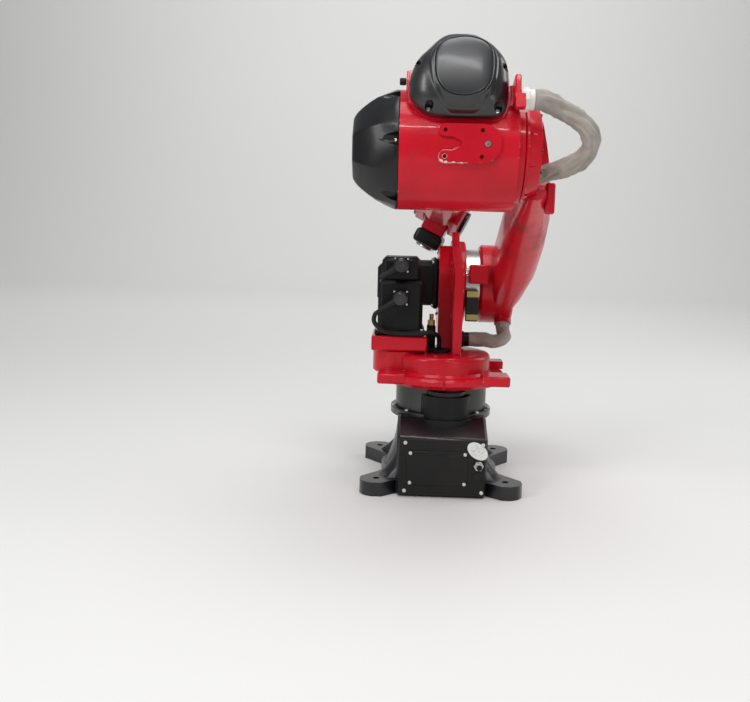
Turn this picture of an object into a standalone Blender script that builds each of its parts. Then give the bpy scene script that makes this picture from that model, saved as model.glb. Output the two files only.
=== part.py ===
"""Six-axis industrial robot arm, parked with its elbow behind the base.

Metres, +Z up, +Y towards the front of the robot. The origin lies on the first
axis, on the underside of the feet. Each moving piece hangs on an empty that
stands on its joint's axis: j1 turns the column, j2 the lower arm, j3 the elbow,
j4 rolls the forearm, j5 bends the wrist and j6 turns the tool flange.
"""
import math

import bmesh
import bpy
from mathutils import Matrix, Vector

# Fits shared by all pieces
SEAT_GAP = 0.0003
BURIED = 0.004
CUT_OVERRUN = 0.020
SOFT_EDGE = 0.003
FINE_EDGE = 0.0012
MERGE_DISTANCE = 0.00001

# Where the joints stand
TURN_TOP = 0.288
BOSS_RADIUS = 0.100
BOSS_CLEARANCE = 0.042
J2_AHEAD = 0.150
J2_HEIGHT = TURN_TOP + BOSS_RADIUS + BOSS_CLEARANCE
ARM_LENGTH = 0.600
ARM_LEAN = math.radians(63.3)
FOREARM_RISE = 0.090
FOREARM_DROP = math.radians(17.0)
FOREARM_LENGTH = 0.660
WRIST_ROLL = math.radians(28.0)
WRIST_BEND = math.radians(70.0)

# Base casting: four feet, a concave pedestal and a bolting flange
FOOT_OFFSET = 0.1375
FOOT_LOBE_RADIUS = 0.036
FOOT_THICK = 0.030
FOOT_HOLE_RADIUS = 0.0075
FOOT_WAIST = 0.130
RIDGE_OFFSET = 0.106
RIDGE_LOBE_RADIUS = 0.027
SKIRT_WAIST = 0.124
LOBE_STEPS = 9
LOBE_CROWDING = 1.5
LOBE_BLEND = 8
NECK_RADIUS = 0.095
NECK_HEIGHT = 0.150
SKIRT_SHARES = (0.0, 0.10, 0.22, 0.38, 0.58, 0.80, 1.0)
SKIRT_FALL = 2.3
BASE_FLANGE_RADIUS = 0.112
BASE_FLANGE_THICK = 0.016
BASE_TOP = 0.165
PLAN_STEPS = 48

# Cable box cast on the back of the base
BOX_WIDTH = 0.190
BOX_REAR = 0.166
BOX_HEIGHT = 0.128
BOX_CREST_BACK = 0.100
BOX_CREST = 0.158
BOX_EDGE = 0.006
COVER_WIDTH = 0.182
COVER_BOTTOM = 0.007
COVER_TOP = 0.126
COVER_THICK = 0.005
PLATE_WIDTH = 0.127
PLATE_BOTTOM = 0.028
PLATE_TOP = 0.102
PLATE_THICK = 0.003
PLATE_X = -0.0095
AIR_X = 0.0765
AIR_HEIGHT = 0.074
AIR_HEX_RADIUS = 0.0105
AIR_HEX_LENGTH = 0.008
AIR_NIPPLE_RADIUS = 0.0065
AIR_NIPPLE_LENGTH = 0.007
AIR_BORE_RADIUS = 0.004

# Cable duct in front of the first reducer
DUCT_RADIUS = 0.0545
DUCT_X = 0.007
DUCT_FRONT = 0.131
DUCT_TOP = 0.207
DUCT_FLARE = 0.008
DUCT_FLARE_TOP = 0.158
J1_STOP_RADIUS = 0.043
J1_STOP_THICK = 0.0092
J1_STOP_SETBACK = 0.005

# First reducer and turntable
J1_REDUCER_RADIUS = 0.101
TURN_BOTTOM = 0.224
TURN_FLANGE_RADIUS = 0.140
TURN_FLANGE_THICK = 0.022
TURN_CHAMFER = 0.008
DRUM_RADIUS = 0.107
DRUM_RIM = 0.010
DRUM_FILLET = 0.005
LUG_REACH = 0.142
LUG_LENGTH = 0.060
LUG_REAR = 0.112
LUG_WIDTH = 0.062
LUG_THICK = 0.022
LUG_BOTTOM = 0.230
NOTCH_WIDTH = 0.004
NOTCH_DEPTH = 0.006
FLANGE_BLOCK = (0.037, 0.040, 0.018)
FLANGE_BLOCK_AT = (0.122, 0.052)
MOTOR_X = -0.097
PINION_LOBE_RADIUS = 0.058
SHELF_WIDTH = 0.122
SHELF_DEPTH = 0.130
SHELF_BOTTOM = 0.294
SHELF_THICK = 0.033

# Servo motors
MOTOR_FLANGE_THICK = 0.012
MOTOR_EDGE = 0.008
J1_FLANGE_SIDE = 0.110
J1_BODY_SIDE = 0.098
J1_BODY_LENGTH = 0.108
J1_CAP_SIDE = 0.084
J1_CAP_LENGTH = 0.050
J2_FLANGE_SIDE = 0.115
J2_BODY_SIDE = 0.102
J2_BODY_LENGTH = 0.096
J2_CAP_SIDE = 0.086
J2_CAP_LENGTH = 0.034
SOCKET_SIDE = 0.034
SOCKET_DEPTH = 0.009
SOCKET_RADIUS = 0.013
SOCKET_LENGTH = 0.008
J1_POWER_SHARE = 0.655
J1_SIGNAL_SHARE = 0.664
PLUG_RADIUS = 0.0135
PLUG_LENGTH = 0.022
PLUG_BOOT_LENGTH = 0.052
PLUG_BOOT_END = 0.0055
PLUG_TILT = math.radians(32.0)
CABLE_RADIUS = 0.005

# Shoulder wall with its boss about the second axis
WALL_LEFT = 0.019
WALL_RIGHT = 0.0385
POST_REAR = 0.060
POST_RISE = 0.048
TOE_SETBACK = 0.068
BOSS_RIGHT = 0.0515
STEP_LEFT = -0.0105
STEP_RADIUS = 0.088
STEP_SETBACK = 0.120
LIFT_LUG_WIDTH = 0.040
LIFT_LUG_RISE = 0.020
LIFT_LUG_HOLE = 0.0075
J2_REDUCER_RADIUS = 0.080
BUFFER_RIGHT = 0.0795
BUFFER_DEPTH = 0.0235
BUFFER_BITE = 0.0165
BUFFER_LENGTH = 0.070
BUFFER_DROP = 0.009

# Small pieces on the drum
GROMMET_RADIUS = 0.026
GROMMET_THICK = 0.006
GROMMET_AT = (-0.0085, -0.012)
VALVE_SIZE = (0.020, 0.030, 0.052)
VALVE_AT = (-0.0255, 0.040)
BRASS_HEX_RADIUS = 0.0085
BRASS_HEX_LENGTH = 0.012
BRASS_STEM_RADIUS = 0.005
BRASS_STEM_LENGTH = 0.014
HOSE_RADIUS = 0.0165
GLAND_NUT_RADIUS = 0.020
LOWER_GLAND_SETBACK = 0.095
LOWER_GLAND_RISE = 0.0205
LOWER_GLAND_LENGTH = 0.022

# Lower arm
ARM_HUB_LEFT = 0.085
ARM_HUB_RIGHT = 0.1625
ARM_HUB_RADIUS = 0.092
ELBOW_HUB_LEFT = 0.1035
ELBOW_HUB_RIGHT = 0.1335
ELBOW_HUB_RADIUS = 0.0855
ELBOW_HUB_NECK = 0.0805
ELBOW_HUB_RIM = 0.0745
ELBOW_HUB_FLANGE = 0.007
RECESS_RADIUS = 0.0645
RECESS_DEPTH = 0.018
RIB_COUNT = 4
RIB_THICK = 0.007
RIB_START_SHARE = 0.5
HUB_EDGE = 0.005
ARM_INNER_FACE = 0.109
ARM_OUTER_FACE = 0.198
ARM_DEPTH = 0.092
ARM_SQUARENESS = 3.2
ARM_STATION_SHARES = (
    (0.02, 0.00, 0.64, 0.92),
    (0.12, 0.00, 0.84, 0.86),
    (0.30, 0.00, 1.00, 0.75),
    (0.50, 0.00, 0.98, 0.68),
    (0.70, 0.00, 0.88, 0.70),
    (0.86, 0.00, 0.70, 0.84),
    (0.98, 0.00, 0.50, 0.92),
)
ARM_RING_STEPS = 28
STOP_LEFT = 0.057
STOP_RIGHT = 0.103
STOP_DEPTH = 0.021
STOP_BITE = 0.008
STOP_RISE = 0.007
STOP_LENGTH = 0.043
CLAMP_LUG = (0.016, 0.022, 0.055)
CLAMP_LUG_AT = (0.1640, 0.020, -0.0765)
ARM_GLAND_ANGLE = math.radians(240.0)
ARM_GLAND_X = 0.1425
ARM_GLAND_LENGTH = 0.010

# Hose routes: beside the elbow from its axis, and beside the wall from the turntable's top
HOSE_LEAD = 0.014
ARM_HOSE_LEAD = 0.018
UPPER_HOSE_ROUTE = ((0.160, -0.088, 0.065), (0.189, -0.085, 0.048), (0.208, -0.079, 0.029),
                    (0.212, -0.068, 0.006), (0.199, -0.055, -0.014), (0.176, -0.038, -0.027))
UPPER_HOSE_END = (-0.012, -0.036)
UPPER_HOSE_SINK = 0.030
LOWER_HOSE_ROUTE = ((0.098, -0.095, 0.0210), (0.123, -0.092, 0.0170), (0.144, -0.081, 0.0250))

# Elbow housing about the third axis
BARREL_LEFT = -0.1055
BARREL_RIGHT = 0.092
BARREL_RADIUS = 0.1025
RING_RADIUS = 0.0885
UPPER_RADIUS = 0.064
UPPER_FRONT = 0.1035
HOOD_PLANE = 0.104
UPPER_FLANGE_THICK = 0.020
CAP_LENGTH = 0.080
CAP_SHARES = ((0.0, 1.0, 0.0), (0.12, 0.99, 0.1), (0.48, 0.90, 0.8), (0.80, 0.72, 1.0),
              (0.94, 0.60, 1.0), (1.0, 0.52, 1.0))
CAP_SIDES = 8
CAP_FLATNESS = 0.70
CAP_POCKET_RADIUS = 0.010
CAP_POCKET_OFFSET = 0.089
CAP_POCKET_DEPTH = 0.012
PAD_PROUD = 0.004
PAD_DEPTH = 0.020
PAD_RISE = 0.0065
PAD_HOLE_X = (-0.0303, 0.0303)
PAD_HOLE_Z = 0.0212
PAD_HOLE_RADIUS = 0.0034
PAD_HOLE_DEPTH = 0.012
PAD_LOBE_RADIUS = 0.0105
PAD_END_RADIUS = 0.0317
PAD_NOTCH_X = -0.008
PAD_PLUG_X = 0.0396
PAD_PLUG_RADIUS = 0.0052
PAD_PLUG_PROUD = 0.001
VENT_LUG = (0.024, 0.015, 0.034)
VENT_LUG_AT = (-0.0840, -0.0905, 0.085)
VENT_RADIUS = 0.006
VENT_LENGTH = 0.011
BRACKET_LEFT = 0.0785
BRACKET_RIGHT = 0.0890
BRACKET_BACK = 0.138
BRACKET_FRONT = 0.0935
BRACKET_BOTTOM = 0.040
BRACKET_TOP = 0.0815
TOE_RIGHT = 0.0945
TOE_BACK = 0.148
TOE_BOTTOM = 0.020
TOE_TOP = 0.044
GLAND_BACK = 0.1140
GLAND_HEIGHT = 0.0475
GLAND_LENGTH = 0.023
GLAND_NUT_LENGTH = 0.014

# Rear hood with its raised visor, as outlines about the forearm axis
HOOD_RIGHT = ((0.0635, -0.075), (0.0745, -0.050), (0.0725, 0.000), (0.069, 0.022), (0.047, 0.049),
              (0.018, 0.067))
HOOD_LEFT = ((0.050, -0.075), (0.068, -0.070), (0.0945, -0.043), (0.0945, -0.008), (0.081, 0.023),
             (0.049, 0.055), (0.031, 0.067))
HOOD_CORNER_RADIUS = 0.014
HOOD_HEART = -0.004
HOOD_DEPTH = 0.044
HOOD_SHARES = ((0.0, 0.98), (0.28, 0.98), (0.62, 0.89), (0.88, 0.70), (1.0, 0.42))
VISOR_CORNERS = ((0.014, -0.067), (0.036, -0.052), (0.050, -0.014), (0.050, 0.030), (0.028, 0.058))
VISOR_CORNER_RADIUS = 0.012
VISOR_DEPTH = 0.050
VISOR_SHARES = ((0.30, 1.0), (0.62, 0.985), (0.84, 0.90), (0.93, 0.80))
WINDOW_CORNERS = ((0.012, -0.049), (0.033, -0.036), (0.043, -0.006), (0.042, 0.030), (0.024, 0.049))
WINDOW_SHARES = ((0.50, 1.0), (0.90, 0.96), (1.0, 0.84), (1.06, 0.52))
HOOD_POCKETS = ((-0.059, -0.063), (0.053, -0.064), (-0.080, 0.011), (0.0655, 0.007))
HOOD_POCKET_RADIUS = 0.007
HOOD_POCKET_FLOOR = 0.012
ARC_STEPS = 5
DOME_ARC_STEPS = 3

# Forearm and wrist
J4_RING_RADIUS = 0.0625
J4_RING_LENGTH = 0.0175
FOREARM_ROOT_RADIUS = 0.061
FOREARM_SHARES = ((0.0, 1.0), (0.06, 1.0), (0.12, 0.96), (0.32, 0.90), (0.66, 0.84), (1.0, 0.80))
FORK_START = 0.105
FORK_ROOT = 0.066
FORK_HALF_WIDTH = 0.056
FORK_RADIUS = 0.039
SLOT_HALF_WIDTH = 0.0345
FORK_COVER_RADIUS = 0.033
FORK_COVER_THICK = 0.008
WRIST_RADIUS = 0.036
WRIST_HALF_WIDTH = 0.0315
WRIST_NECK_SIDE = 0.060
WRIST_PIN_RADIUS = 0.018
WRIST_UNIT_START = 0.052
WRIST_UNIT_SIDE = 0.072
WRIST_UNIT_LENGTH = 0.036
WRIST_UNIT_EDGE = 0.010
TOOL_FLANGE_RADIUS = 0.025
TOOL_FLANGE_LENGTH = 0.007
TOOL_BORE_RADIUS = 0.0125
TOOL_BORE_DEPTH = 0.004

# Directions: an outline drawn flat is stood up with one of these turns
FLAT = (0.0, 0.0, 0.0)
ACROSS = (math.pi / 2, 0.0, math.pi / 2)
BACKWARD = (math.pi / 2, 0.0, 0.0)
TURN = {"X": (0.0, math.pi / 2, 0.0), "Y": (-math.pi / 2, 0.0, 0.0), "Z": FLAT}

FINISHES = {
    "red_paint": ((0.52, 0.012, 0.024), 0.28, 0.0),
    "black_paint": ((0.012, 0.012, 0.014), 0.38, 0.0),
    "black_plastic": ((0.010, 0.010, 0.011), 0.32, 0.0),
    "motor_black": ((0.014, 0.014, 0.015), 0.45, 0.0),
    "machined_iron": ((0.16, 0.165, 0.16), 0.42, 0.9),
    "bright_steel": ((0.55, 0.54, 0.51), 0.30, 1.0),
    "rubber": ((0.012, 0.012, 0.012), 0.75, 0.0),
    "brass": ((0.62, 0.42, 0.14), 0.30, 1.0),
    "hose_fabric": ((0.36, 0.32, 0.28), 0.85, 0.0),
    "gland_white": ((0.70, 0.69, 0.65), 0.45, 0.0),
    "buffer_black": ((0.015, 0.015, 0.015), 0.55, 0.0),
}


def clear_scene():
    """Empty the file, then add one collection for parts and one for tools."""
    for obj in list(bpy.data.objects):
        bpy.data.objects.remove(obj)
    collections = []
    for name in ("robot_arm", "cutters"):
        collection = bpy.data.collections.new(name)
        bpy.context.scene.collection.children.link(collection)
        collections.append(collection)
    return collections


def make_finish(name, colour, roughness, metallic):
    """Principled material of one painted, moulded or bare surface."""
    material = bpy.data.materials.new(name)
    material.use_nodes = True
    shader = material.node_tree.nodes["Principled BSDF"]
    shader.inputs["Base Color"].default_value = (*colour, 1.0)
    shader.inputs["Roughness"].default_value = roughness
    shader.inputs["Metallic"].default_value = metallic
    material.diffuse_color = (*colour, 1.0)
    return material


PARTS, CUTTERS = clear_scene()
MATERIALS = {name: make_finish(name, *look) for name, look in FINISHES.items()}


def make_frame(name, parent=None, at=(0.0, 0.0, 0.0), turn=FLAT):
    """Empty that carries the pieces of one body or one tilted axis."""
    frame = bpy.data.objects.new(name, None)
    frame.location = at
    frame.rotation_euler = turn
    frame.parent = parent
    PARTS.objects.link(frame)
    return frame


def place(name, mesh, frame, finish, at, turn):
    """Object in its frame: a part when it has a finish, else a hidden tool."""
    obj = bpy.data.objects.new(name, mesh)
    obj.location = at
    obj.rotation_euler = turn
    obj.parent = frame
    if finish:
        PARTS.objects.link(obj)
        mesh.materials.append(MATERIALS[finish])
    else:
        CUTTERS.objects.link(obj)
        obj.hide_render = True
        obj.display_type = "WIRE"
    return obj


def smooth(mesh):
    mesh.shade_smooth()
    mesh.set_sharp_from_angle(angle=math.radians(30.0))


def soften(obj, width, segments=1):
    """Round the edges that are sharper than the facets of a curve."""
    bevel = obj.modifiers.new("soft_edges", "BEVEL")
    bevel.width = width
    bevel.segments = segments
    bevel.limit_method = "ANGLE"
    bevel.angle_limit = math.radians(40.0)
    return obj


def combine(obj, tool, operation):
    boolean = obj.modifiers.new(tool.name, "BOOLEAN")
    boolean.operation = operation
    boolean.solver = "EXACT"
    boolean.object = tool
    return obj


def join(obj, *tools):
    for tool in tools:
        combine(obj, tool, "UNION")
    return obj


def cut(obj, *tools):
    for tool in tools:
        combine(obj, tool, "DIFFERENCE")
    return obj


def block(name, size, frame, finish=None, at=(0.0, 0.0, 0.0), turn=FLAT, edge=0.0, segments=1):
    """Box about its own centre, with rounded edges where edge is given."""
    shape = bmesh.new()
    bmesh.ops.create_cube(shape, size=1.0, matrix=Matrix.Diagonal((*size, 1.0)))
    mesh = bpy.data.meshes.new(name)
    shape.to_mesh(mesh)
    shape.free()
    obj = place(name, mesh, frame, finish, at, turn)
    if edge:
        soften(obj, edge, segments)
    return obj


def between(name, low, high, frame, finish=None, edge=0.0, segments=1):
    """Box between two opposite corners."""
    size = [b - a for a, b in zip(low, high)]
    centre = [(a + b) / 2 for a, b in zip(low, high)]
    return block(name, size, frame, finish, centre, FLAT, edge, segments)


def rod(name, radius, start, end, axis, frame, finish=None, across=(0.0, 0.0), end_radius=None,
        sides=40, edge=0.0):
    """Cylinder or cone from start to end along one axis; across holds its other two places."""
    shape = bmesh.new()
    tip = radius if end_radius is None else end_radius
    bmesh.ops.create_cone(shape, cap_ends=True, segments=sides, radius1=radius, radius2=tip,
                          depth=end - start, matrix=Matrix.Rotation(math.pi / sides, 4, "Z"))
    mesh = bpy.data.meshes.new(name)
    shape.to_mesh(mesh)
    shape.free()
    smooth(mesh)
    middle = (start + end) / 2
    at = {"X": (middle, *across), "Y": (across[0], middle, across[1]), "Z": (*across, middle)}[axis]
    obj = place(name, mesh, frame, finish, at, TURN[axis])
    if edge:
        soften(obj, edge)
    return obj


def turned(name, profile, frame, finish=None, at=(0.0, 0.0, 0.0), turn=FLAT, sides=48):
    """Solid of revolution: the profile runs down its outer side, from top to bottom."""
    mesh = bpy.data.meshes.new(name)
    points = [(radius, 0.0, height) for radius, height in profile]
    mesh.from_pydata(points, [(i, i + 1) for i in range(len(points) - 1)], [])
    obj = place(name, mesh, frame, finish, at, turn)
    screw = obj.modifiers.new("turning", "SCREW")
    screw.steps = sides
    screw.render_steps = sides
    screw.use_merge_vertices = True
    screw.merge_threshold = MERGE_DISTANCE
    screw.use_smooth_shade = True
    return obj


def plate(name, outline, thickness, frame, finish=None, at=(0.0, 0.0, 0.0), turn=FLAT, edge=0.0):
    """Flat outline with a thickness, half of it on each side, as a mesh."""
    curve = bpy.data.curves.new(name + "_outline", "CURVE")
    curve.dimensions = "2D"
    curve.fill_mode = "BOTH"
    curve.extrude = thickness / 2
    spline = curve.splines.new("POLY")
    spline.points.add(len(outline) - 1)
    for point, (u, v) in zip(spline.points, outline):
        point.co = (u, v, 0.0, 1.0)
    spline.use_cyclic_u = True
    drawing = bpy.data.objects.new(name + "_outline", curve)
    CUTTERS.objects.link(drawing)
    bpy.context.view_layer.update()
    drawn = drawing.evaluated_get(bpy.context.evaluated_depsgraph_get())
    mesh = bpy.data.meshes.new_from_object(drawn)
    mesh.name = name
    shape = bmesh.new()
    shape.from_mesh(mesh)
    bmesh.ops.remove_doubles(shape, verts=shape.verts, dist=MERGE_DISTANCE)
    bmesh.ops.recalc_face_normals(shape, faces=shape.faces)
    shape.to_mesh(mesh)
    shape.free()
    bpy.data.objects.remove(drawing)
    mesh.materials.clear()
    smooth(mesh)
    obj = place(name, mesh, frame, finish, at, turn)
    if edge:
        soften(obj, edge)
    return obj


def tube(name, route, radius, frame, finish):
    """Hose or cable: a round curve with filled caps through a smooth route."""
    curve = bpy.data.curves.new(name, "CURVE")
    curve.dimensions = "3D"
    curve.bevel_depth = radius
    curve.bevel_resolution = 3
    curve.use_fill_caps = True
    spline = curve.splines.new("POLY")
    spline.points.add(len(route) - 1)
    for point, place_of in zip(spline.points, route):
        point.co = (*place_of, 1.0)
    curve.materials.append(MATERIALS[finish])
    obj = bpy.data.objects.new(name, curve)
    obj.parent = frame
    PARTS.objects.link(obj)
    return obj


def smooth_route(points, spacing):
    """Points every spacing along a smooth curve, with a straight lead at each end."""
    knots = [Vector(point) for point in points]
    route = [knots[0], knots[1]]
    for a, b, c, d in zip(knots, knots[1:], knots[2:], knots[3:]):
        steps = max(2, round((c - b).length / spacing))
        for step in range(1, steps + 1):
            t = step / steps
            route.append(0.5 * (2 * b + (c - a) * t + (2 * a - 5 * b + 4 * c - d) * t * t
                                + (3 * b - a - 3 * c + d) * t * t * t))
    route.append(knots[-1])
    return route


def loft(name, rings, frame, finish=None, at=(0.0, 0.0, 0.0), turn=FLAT):
    """Closed skin between unlike sections that have equal numbers of points."""
    shape = bmesh.new()
    rows = [[shape.verts.new(point) for point in ring] for ring in rings]
    for low, high in zip(rows, rows[1:]):
        for i in range(len(low)):
            j = (i + 1) % len(low)
            shape.faces.new((low[i], low[j], high[j], high[i]))
    shape.faces.new(rows[0])
    shape.faces.new(rows[-1])
    bmesh.ops.recalc_face_normals(shape, faces=shape.faces)
    mesh = bpy.data.meshes.new(name)
    shape.to_mesh(mesh)
    shape.free()
    smooth(mesh)
    return place(name, mesh, frame, finish, at, turn)


def arc(centre, radius, start, end, steps=ARC_STEPS):
    """Points along an arc, with angles in degrees."""
    angles = [math.radians(start + (end - start) * i / steps) for i in range(steps + 1)]
    return [(centre[0] + radius * math.cos(a), centre[1] + radius * math.sin(a)) for a in angles]


def rounded(corners, radius):
    """Outline with each corner replaced by a curve that starts radius before it."""
    outline = []
    count = len(corners)
    for i, corner in enumerate(corners):
        here = Vector(corner)
        before = Vector(corners[i - 1])
        after = Vector(corners[(i + 1) % count])
        reach_in = min(radius, (before - here).length / 2)
        reach_out = min(radius, (after - here).length / 2)
        start = here + (before - here).normalized() * reach_in
        end = here + (after - here).normalized() * reach_out
        for step in range(DOME_ARC_STEPS + 1):
            t = step / DOME_ARC_STEPS
            outline.append((1 - t) ** 2 * start + 2 * t * (1 - t) * here + t * t * end)
    kept = [tuple(p) for i, p in enumerate(outline) if (p - outline[i - 1]).length > FINE_EDGE / 4]
    return kept


def tangent_outline(radius, centre, left_foot, right_foot, floor):
    """Round head on a foot: a circle joined to two foot corners by its tangents."""
    def tangent_angle(corner, side):
        offset = Vector(corner) - Vector(centre)
        swing = math.acos(min(1.0, radius / offset.length))
        return math.degrees(math.atan2(offset.y, offset.x) + side * swing)

    start = tangent_angle((right_foot, floor), 1)
    end = tangent_angle((left_foot, floor), -1)
    if end < start:
        end += 360.0
    head = arc(centre, radius, start, end, 4 * ARC_STEPS)
    return [(left_foot, floor), (right_foot, floor), *head]


def make_frames():
    """Empties on the six joint axes, and two more for the tilted castings."""
    frames = {"base": make_frame("base_frame")}
    frames["j1"] = make_frame("j1_axis", frames["base"])
    frames["j2"] = make_frame("j2_axis", frames["j1"], (0.0, J2_AHEAD, J2_HEIGHT))
    frames["arm"] = make_frame("lower_arm_line", frames["j2"], turn=(ARM_LEAN, 0.0, 0.0))
    frames["j3"] = make_frame("j3_axis", frames["arm"], (0.0, 0.0, ARM_LENGTH), (-ARM_LEAN, 0.0, 0.0))
    frames["upper"] = make_frame("forearm_tilt", frames["j3"], turn=(-FOREARM_DROP, 0.0, 0.0))
    frames["j4"] = make_frame("j4_axis", frames["upper"], (0.0, 0.0, FOREARM_RISE),
                              (0.0, WRIST_ROLL, 0.0))
    frames["j5"] = make_frame("j5_axis", frames["j4"], (0.0, FOREARM_LENGTH, 0.0),
                              (-WRIST_BEND, 0.0, 0.0))
    frames["j6"] = make_frame("j6_axis", frames["j5"])
    bpy.context.view_layer.update()
    return frames


def lobe_reach(swing, offset, lobe, waist):
    """How far a round waist with a round lobe on its diagonal reaches, swing away from it."""
    centre = offset * math.sqrt(2.0)
    side = abs(math.sin(swing))
    if side < lobe / math.hypot(centre, lobe):
        arm = centre * math.cos(swing) + math.sqrt(lobe ** 2 - (centre * side) ** 2)
    else:
        arm = lobe / side
    return (waist ** LOBE_BLEND + arm ** LOBE_BLEND) ** (1 / LOBE_BLEND)


def plan_ring(offset, lobe, waist, height, spread=1.0):
    """Plan of the base at one height, drawn in to the round neck as spread falls to nought."""
    swings = [math.pi / 4 * (step / LOBE_STEPS) ** LOBE_CROWDING for step in range(LOBE_STEPS + 1)]
    ring = []
    for corner in range(4):
        diagonal = math.pi / 4 + corner * math.pi / 2
        for swing in [-swing for swing in reversed(swings[1:])] + swings[:-1]:
            reach = lobe_reach(swing, offset, lobe, waist)
            radius = NECK_RADIUS + (reach - NECK_RADIUS) * spread
            angle = diagonal + swing
            ring.append((radius * math.cos(angle), radius * math.sin(angle), height))
    return ring


def base_box_profile(growth):
    """Side view of the cable box, raised by growth along its sloping top."""
    return [(-BOX_REAR - growth, 0.0), (-BOX_REAR - growth, BOX_HEIGHT + growth),
            (-BOX_CREST_BACK, BOX_CREST + growth), (-NECK_RADIUS / 2, BOX_CREST + growth),
            (-NECK_RADIUS / 2, 0.0)]


def make_base(frame):
    """Cast base: feet, concave pedestal, top flange and the cable box at the back."""
    rings = [plan_ring(FOOT_OFFSET, FOOT_LOBE_RADIUS, FOOT_WAIST, 0.0),
             plan_ring(FOOT_OFFSET, FOOT_LOBE_RADIUS, FOOT_WAIST, FOOT_THICK)]
    for share in SKIRT_SHARES:
        height = FOOT_THICK + (NECK_HEIGHT - FOOT_THICK) * share
        spread = (1.0 - share) ** SKIRT_FALL
        rings.append(plan_ring(RIDGE_OFFSET, RIDGE_LOBE_RADIUS, SKIRT_WAIST, height, spread))
    casting = loft("base_casting", rings, frame, "black_paint")
    flange = rod("base_flange", BASE_FLANGE_RADIUS, BASE_TOP - BASE_FLANGE_THICK, BASE_TOP, "Z",
                 frame, sides=PLAN_STEPS, edge=FINE_EDGE)
    box = plate("cable_box", base_box_profile(0.0), BOX_WIDTH, frame, turn=ACROSS, edge=BOX_EDGE)
    join(casting, flange, box)
    for i, (side_x, side_y) in enumerate(((-1, -1), (1, -1), (-1, 1), (1, 1))):
        hole = rod(f"foot_hole_{i}", FOOT_HOLE_RADIUS, -CUT_OVERRUN, FOOT_THICK + CUT_OVERRUN, "Z",
                   frame, across=(side_x * FOOT_OFFSET, side_y * FOOT_OFFSET), sides=16)
        cut(casting, hole)


def make_base_fittings(frame):
    """Cover, connector plate and air fitting on the back, and the duct above them."""
    cover_back = BOX_REAR + SEAT_GAP
    between("rear_cover", (-COVER_WIDTH / 2, -cover_back - COVER_THICK, COVER_BOTTOM),
            (COVER_WIDTH / 2, -cover_back, COVER_TOP), frame, "black_plastic", FINE_EDGE)
    plate_back = cover_back + COVER_THICK + SEAT_GAP
    between("connector_plate", (PLATE_X - PLATE_WIDTH / 2, -plate_back - PLATE_THICK, PLATE_BOTTOM),
            (PLATE_X + PLATE_WIDTH / 2, -plate_back, PLATE_TOP), frame, "black_plastic", FINE_EDGE)
    nut_end = -plate_back - AIR_HEX_LENGTH
    fitting = rod("air_fitting", AIR_HEX_RADIUS, nut_end, -plate_back, "Y", frame, "bright_steel",
                  (AIR_X, AIR_HEIGHT), sides=6)
    nipple = rod("air_nipple", AIR_NIPPLE_RADIUS, nut_end - AIR_NIPPLE_LENGTH, nut_end + BURIED, "Y",
                 frame, across=(AIR_X, AIR_HEIGHT), sides=24)
    bore = rod("air_bore", AIR_BORE_RADIUS, nut_end - AIR_NIPPLE_LENGTH - CUT_OVERRUN, nut_end, "Y",
               frame, across=(AIR_X, AIR_HEIGHT), sides=16)
    cut(join(fitting, nipple), bore)


def half_round(radius, front, inner):
    """Plan of an upright half-round piece whose round side faces backwards."""
    centre = -front + radius
    return [*arc((0.0, centre), radius, 180.0, 360.0, 4 * ARC_STEPS), (radius, inner), (-radius, inner)]


def make_duct(frame):
    """Half-round cable duct on the sloping box top, with its flared foot and stop block."""
    inner = -J1_REDUCER_RADIUS / 2
    height = DUCT_TOP - BOX_HEIGHT
    duct = plate("cable_duct", half_round(DUCT_RADIUS, DUCT_FRONT, inner), height, frame,
                 "black_plastic", (DUCT_X, 0.0, BOX_HEIGHT + height / 2), edge=SOFT_EDGE)
    foot_height = DUCT_FLARE_TOP - BOX_HEIGHT
    foot = plate("duct_foot", half_round(DUCT_RADIUS + DUCT_FLARE, DUCT_FRONT + DUCT_FLARE, inner),
                 foot_height, frame, at=(DUCT_X, 0.0, BOX_HEIGHT + foot_height / 2), edge=SOFT_EDGE)
    slope = plate("duct_slope", base_box_profile(SEAT_GAP), BOX_WIDTH + CUT_OVERRUN, frame, turn=ACROSS)
    flange = rod("duct_flange_cut", BASE_FLANGE_RADIUS + SEAT_GAP, 0.0, BASE_TOP + SEAT_GAP, "Z", frame,
                 sides=PLAN_STEPS)
    reducer = rod("duct_reducer_cut", J1_REDUCER_RADIUS + SEAT_GAP, 0.0, TURN_TOP, "Z", frame,
                  sides=PLAN_STEPS)
    cut(join(duct, foot), slope, flange, reducer)
    bottom = DUCT_TOP + SEAT_GAP
    stop = plate("j1_stop_block", half_round(J1_STOP_RADIUS, DUCT_FRONT - J1_STOP_SETBACK, inner),
                 J1_STOP_THICK, frame, "black_plastic", (DUCT_X, 0.0, bottom + J1_STOP_THICK / 2),
                 edge=FINE_EDGE)
    cut(stop, reducer)
    rod("j1_reducer", J1_REDUCER_RADIUS, BASE_TOP + SEAT_GAP, TURN_BOTTOM - SEAT_GAP, "Z", frame,
        "machined_iron", sides=PLAN_STEPS)


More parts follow.
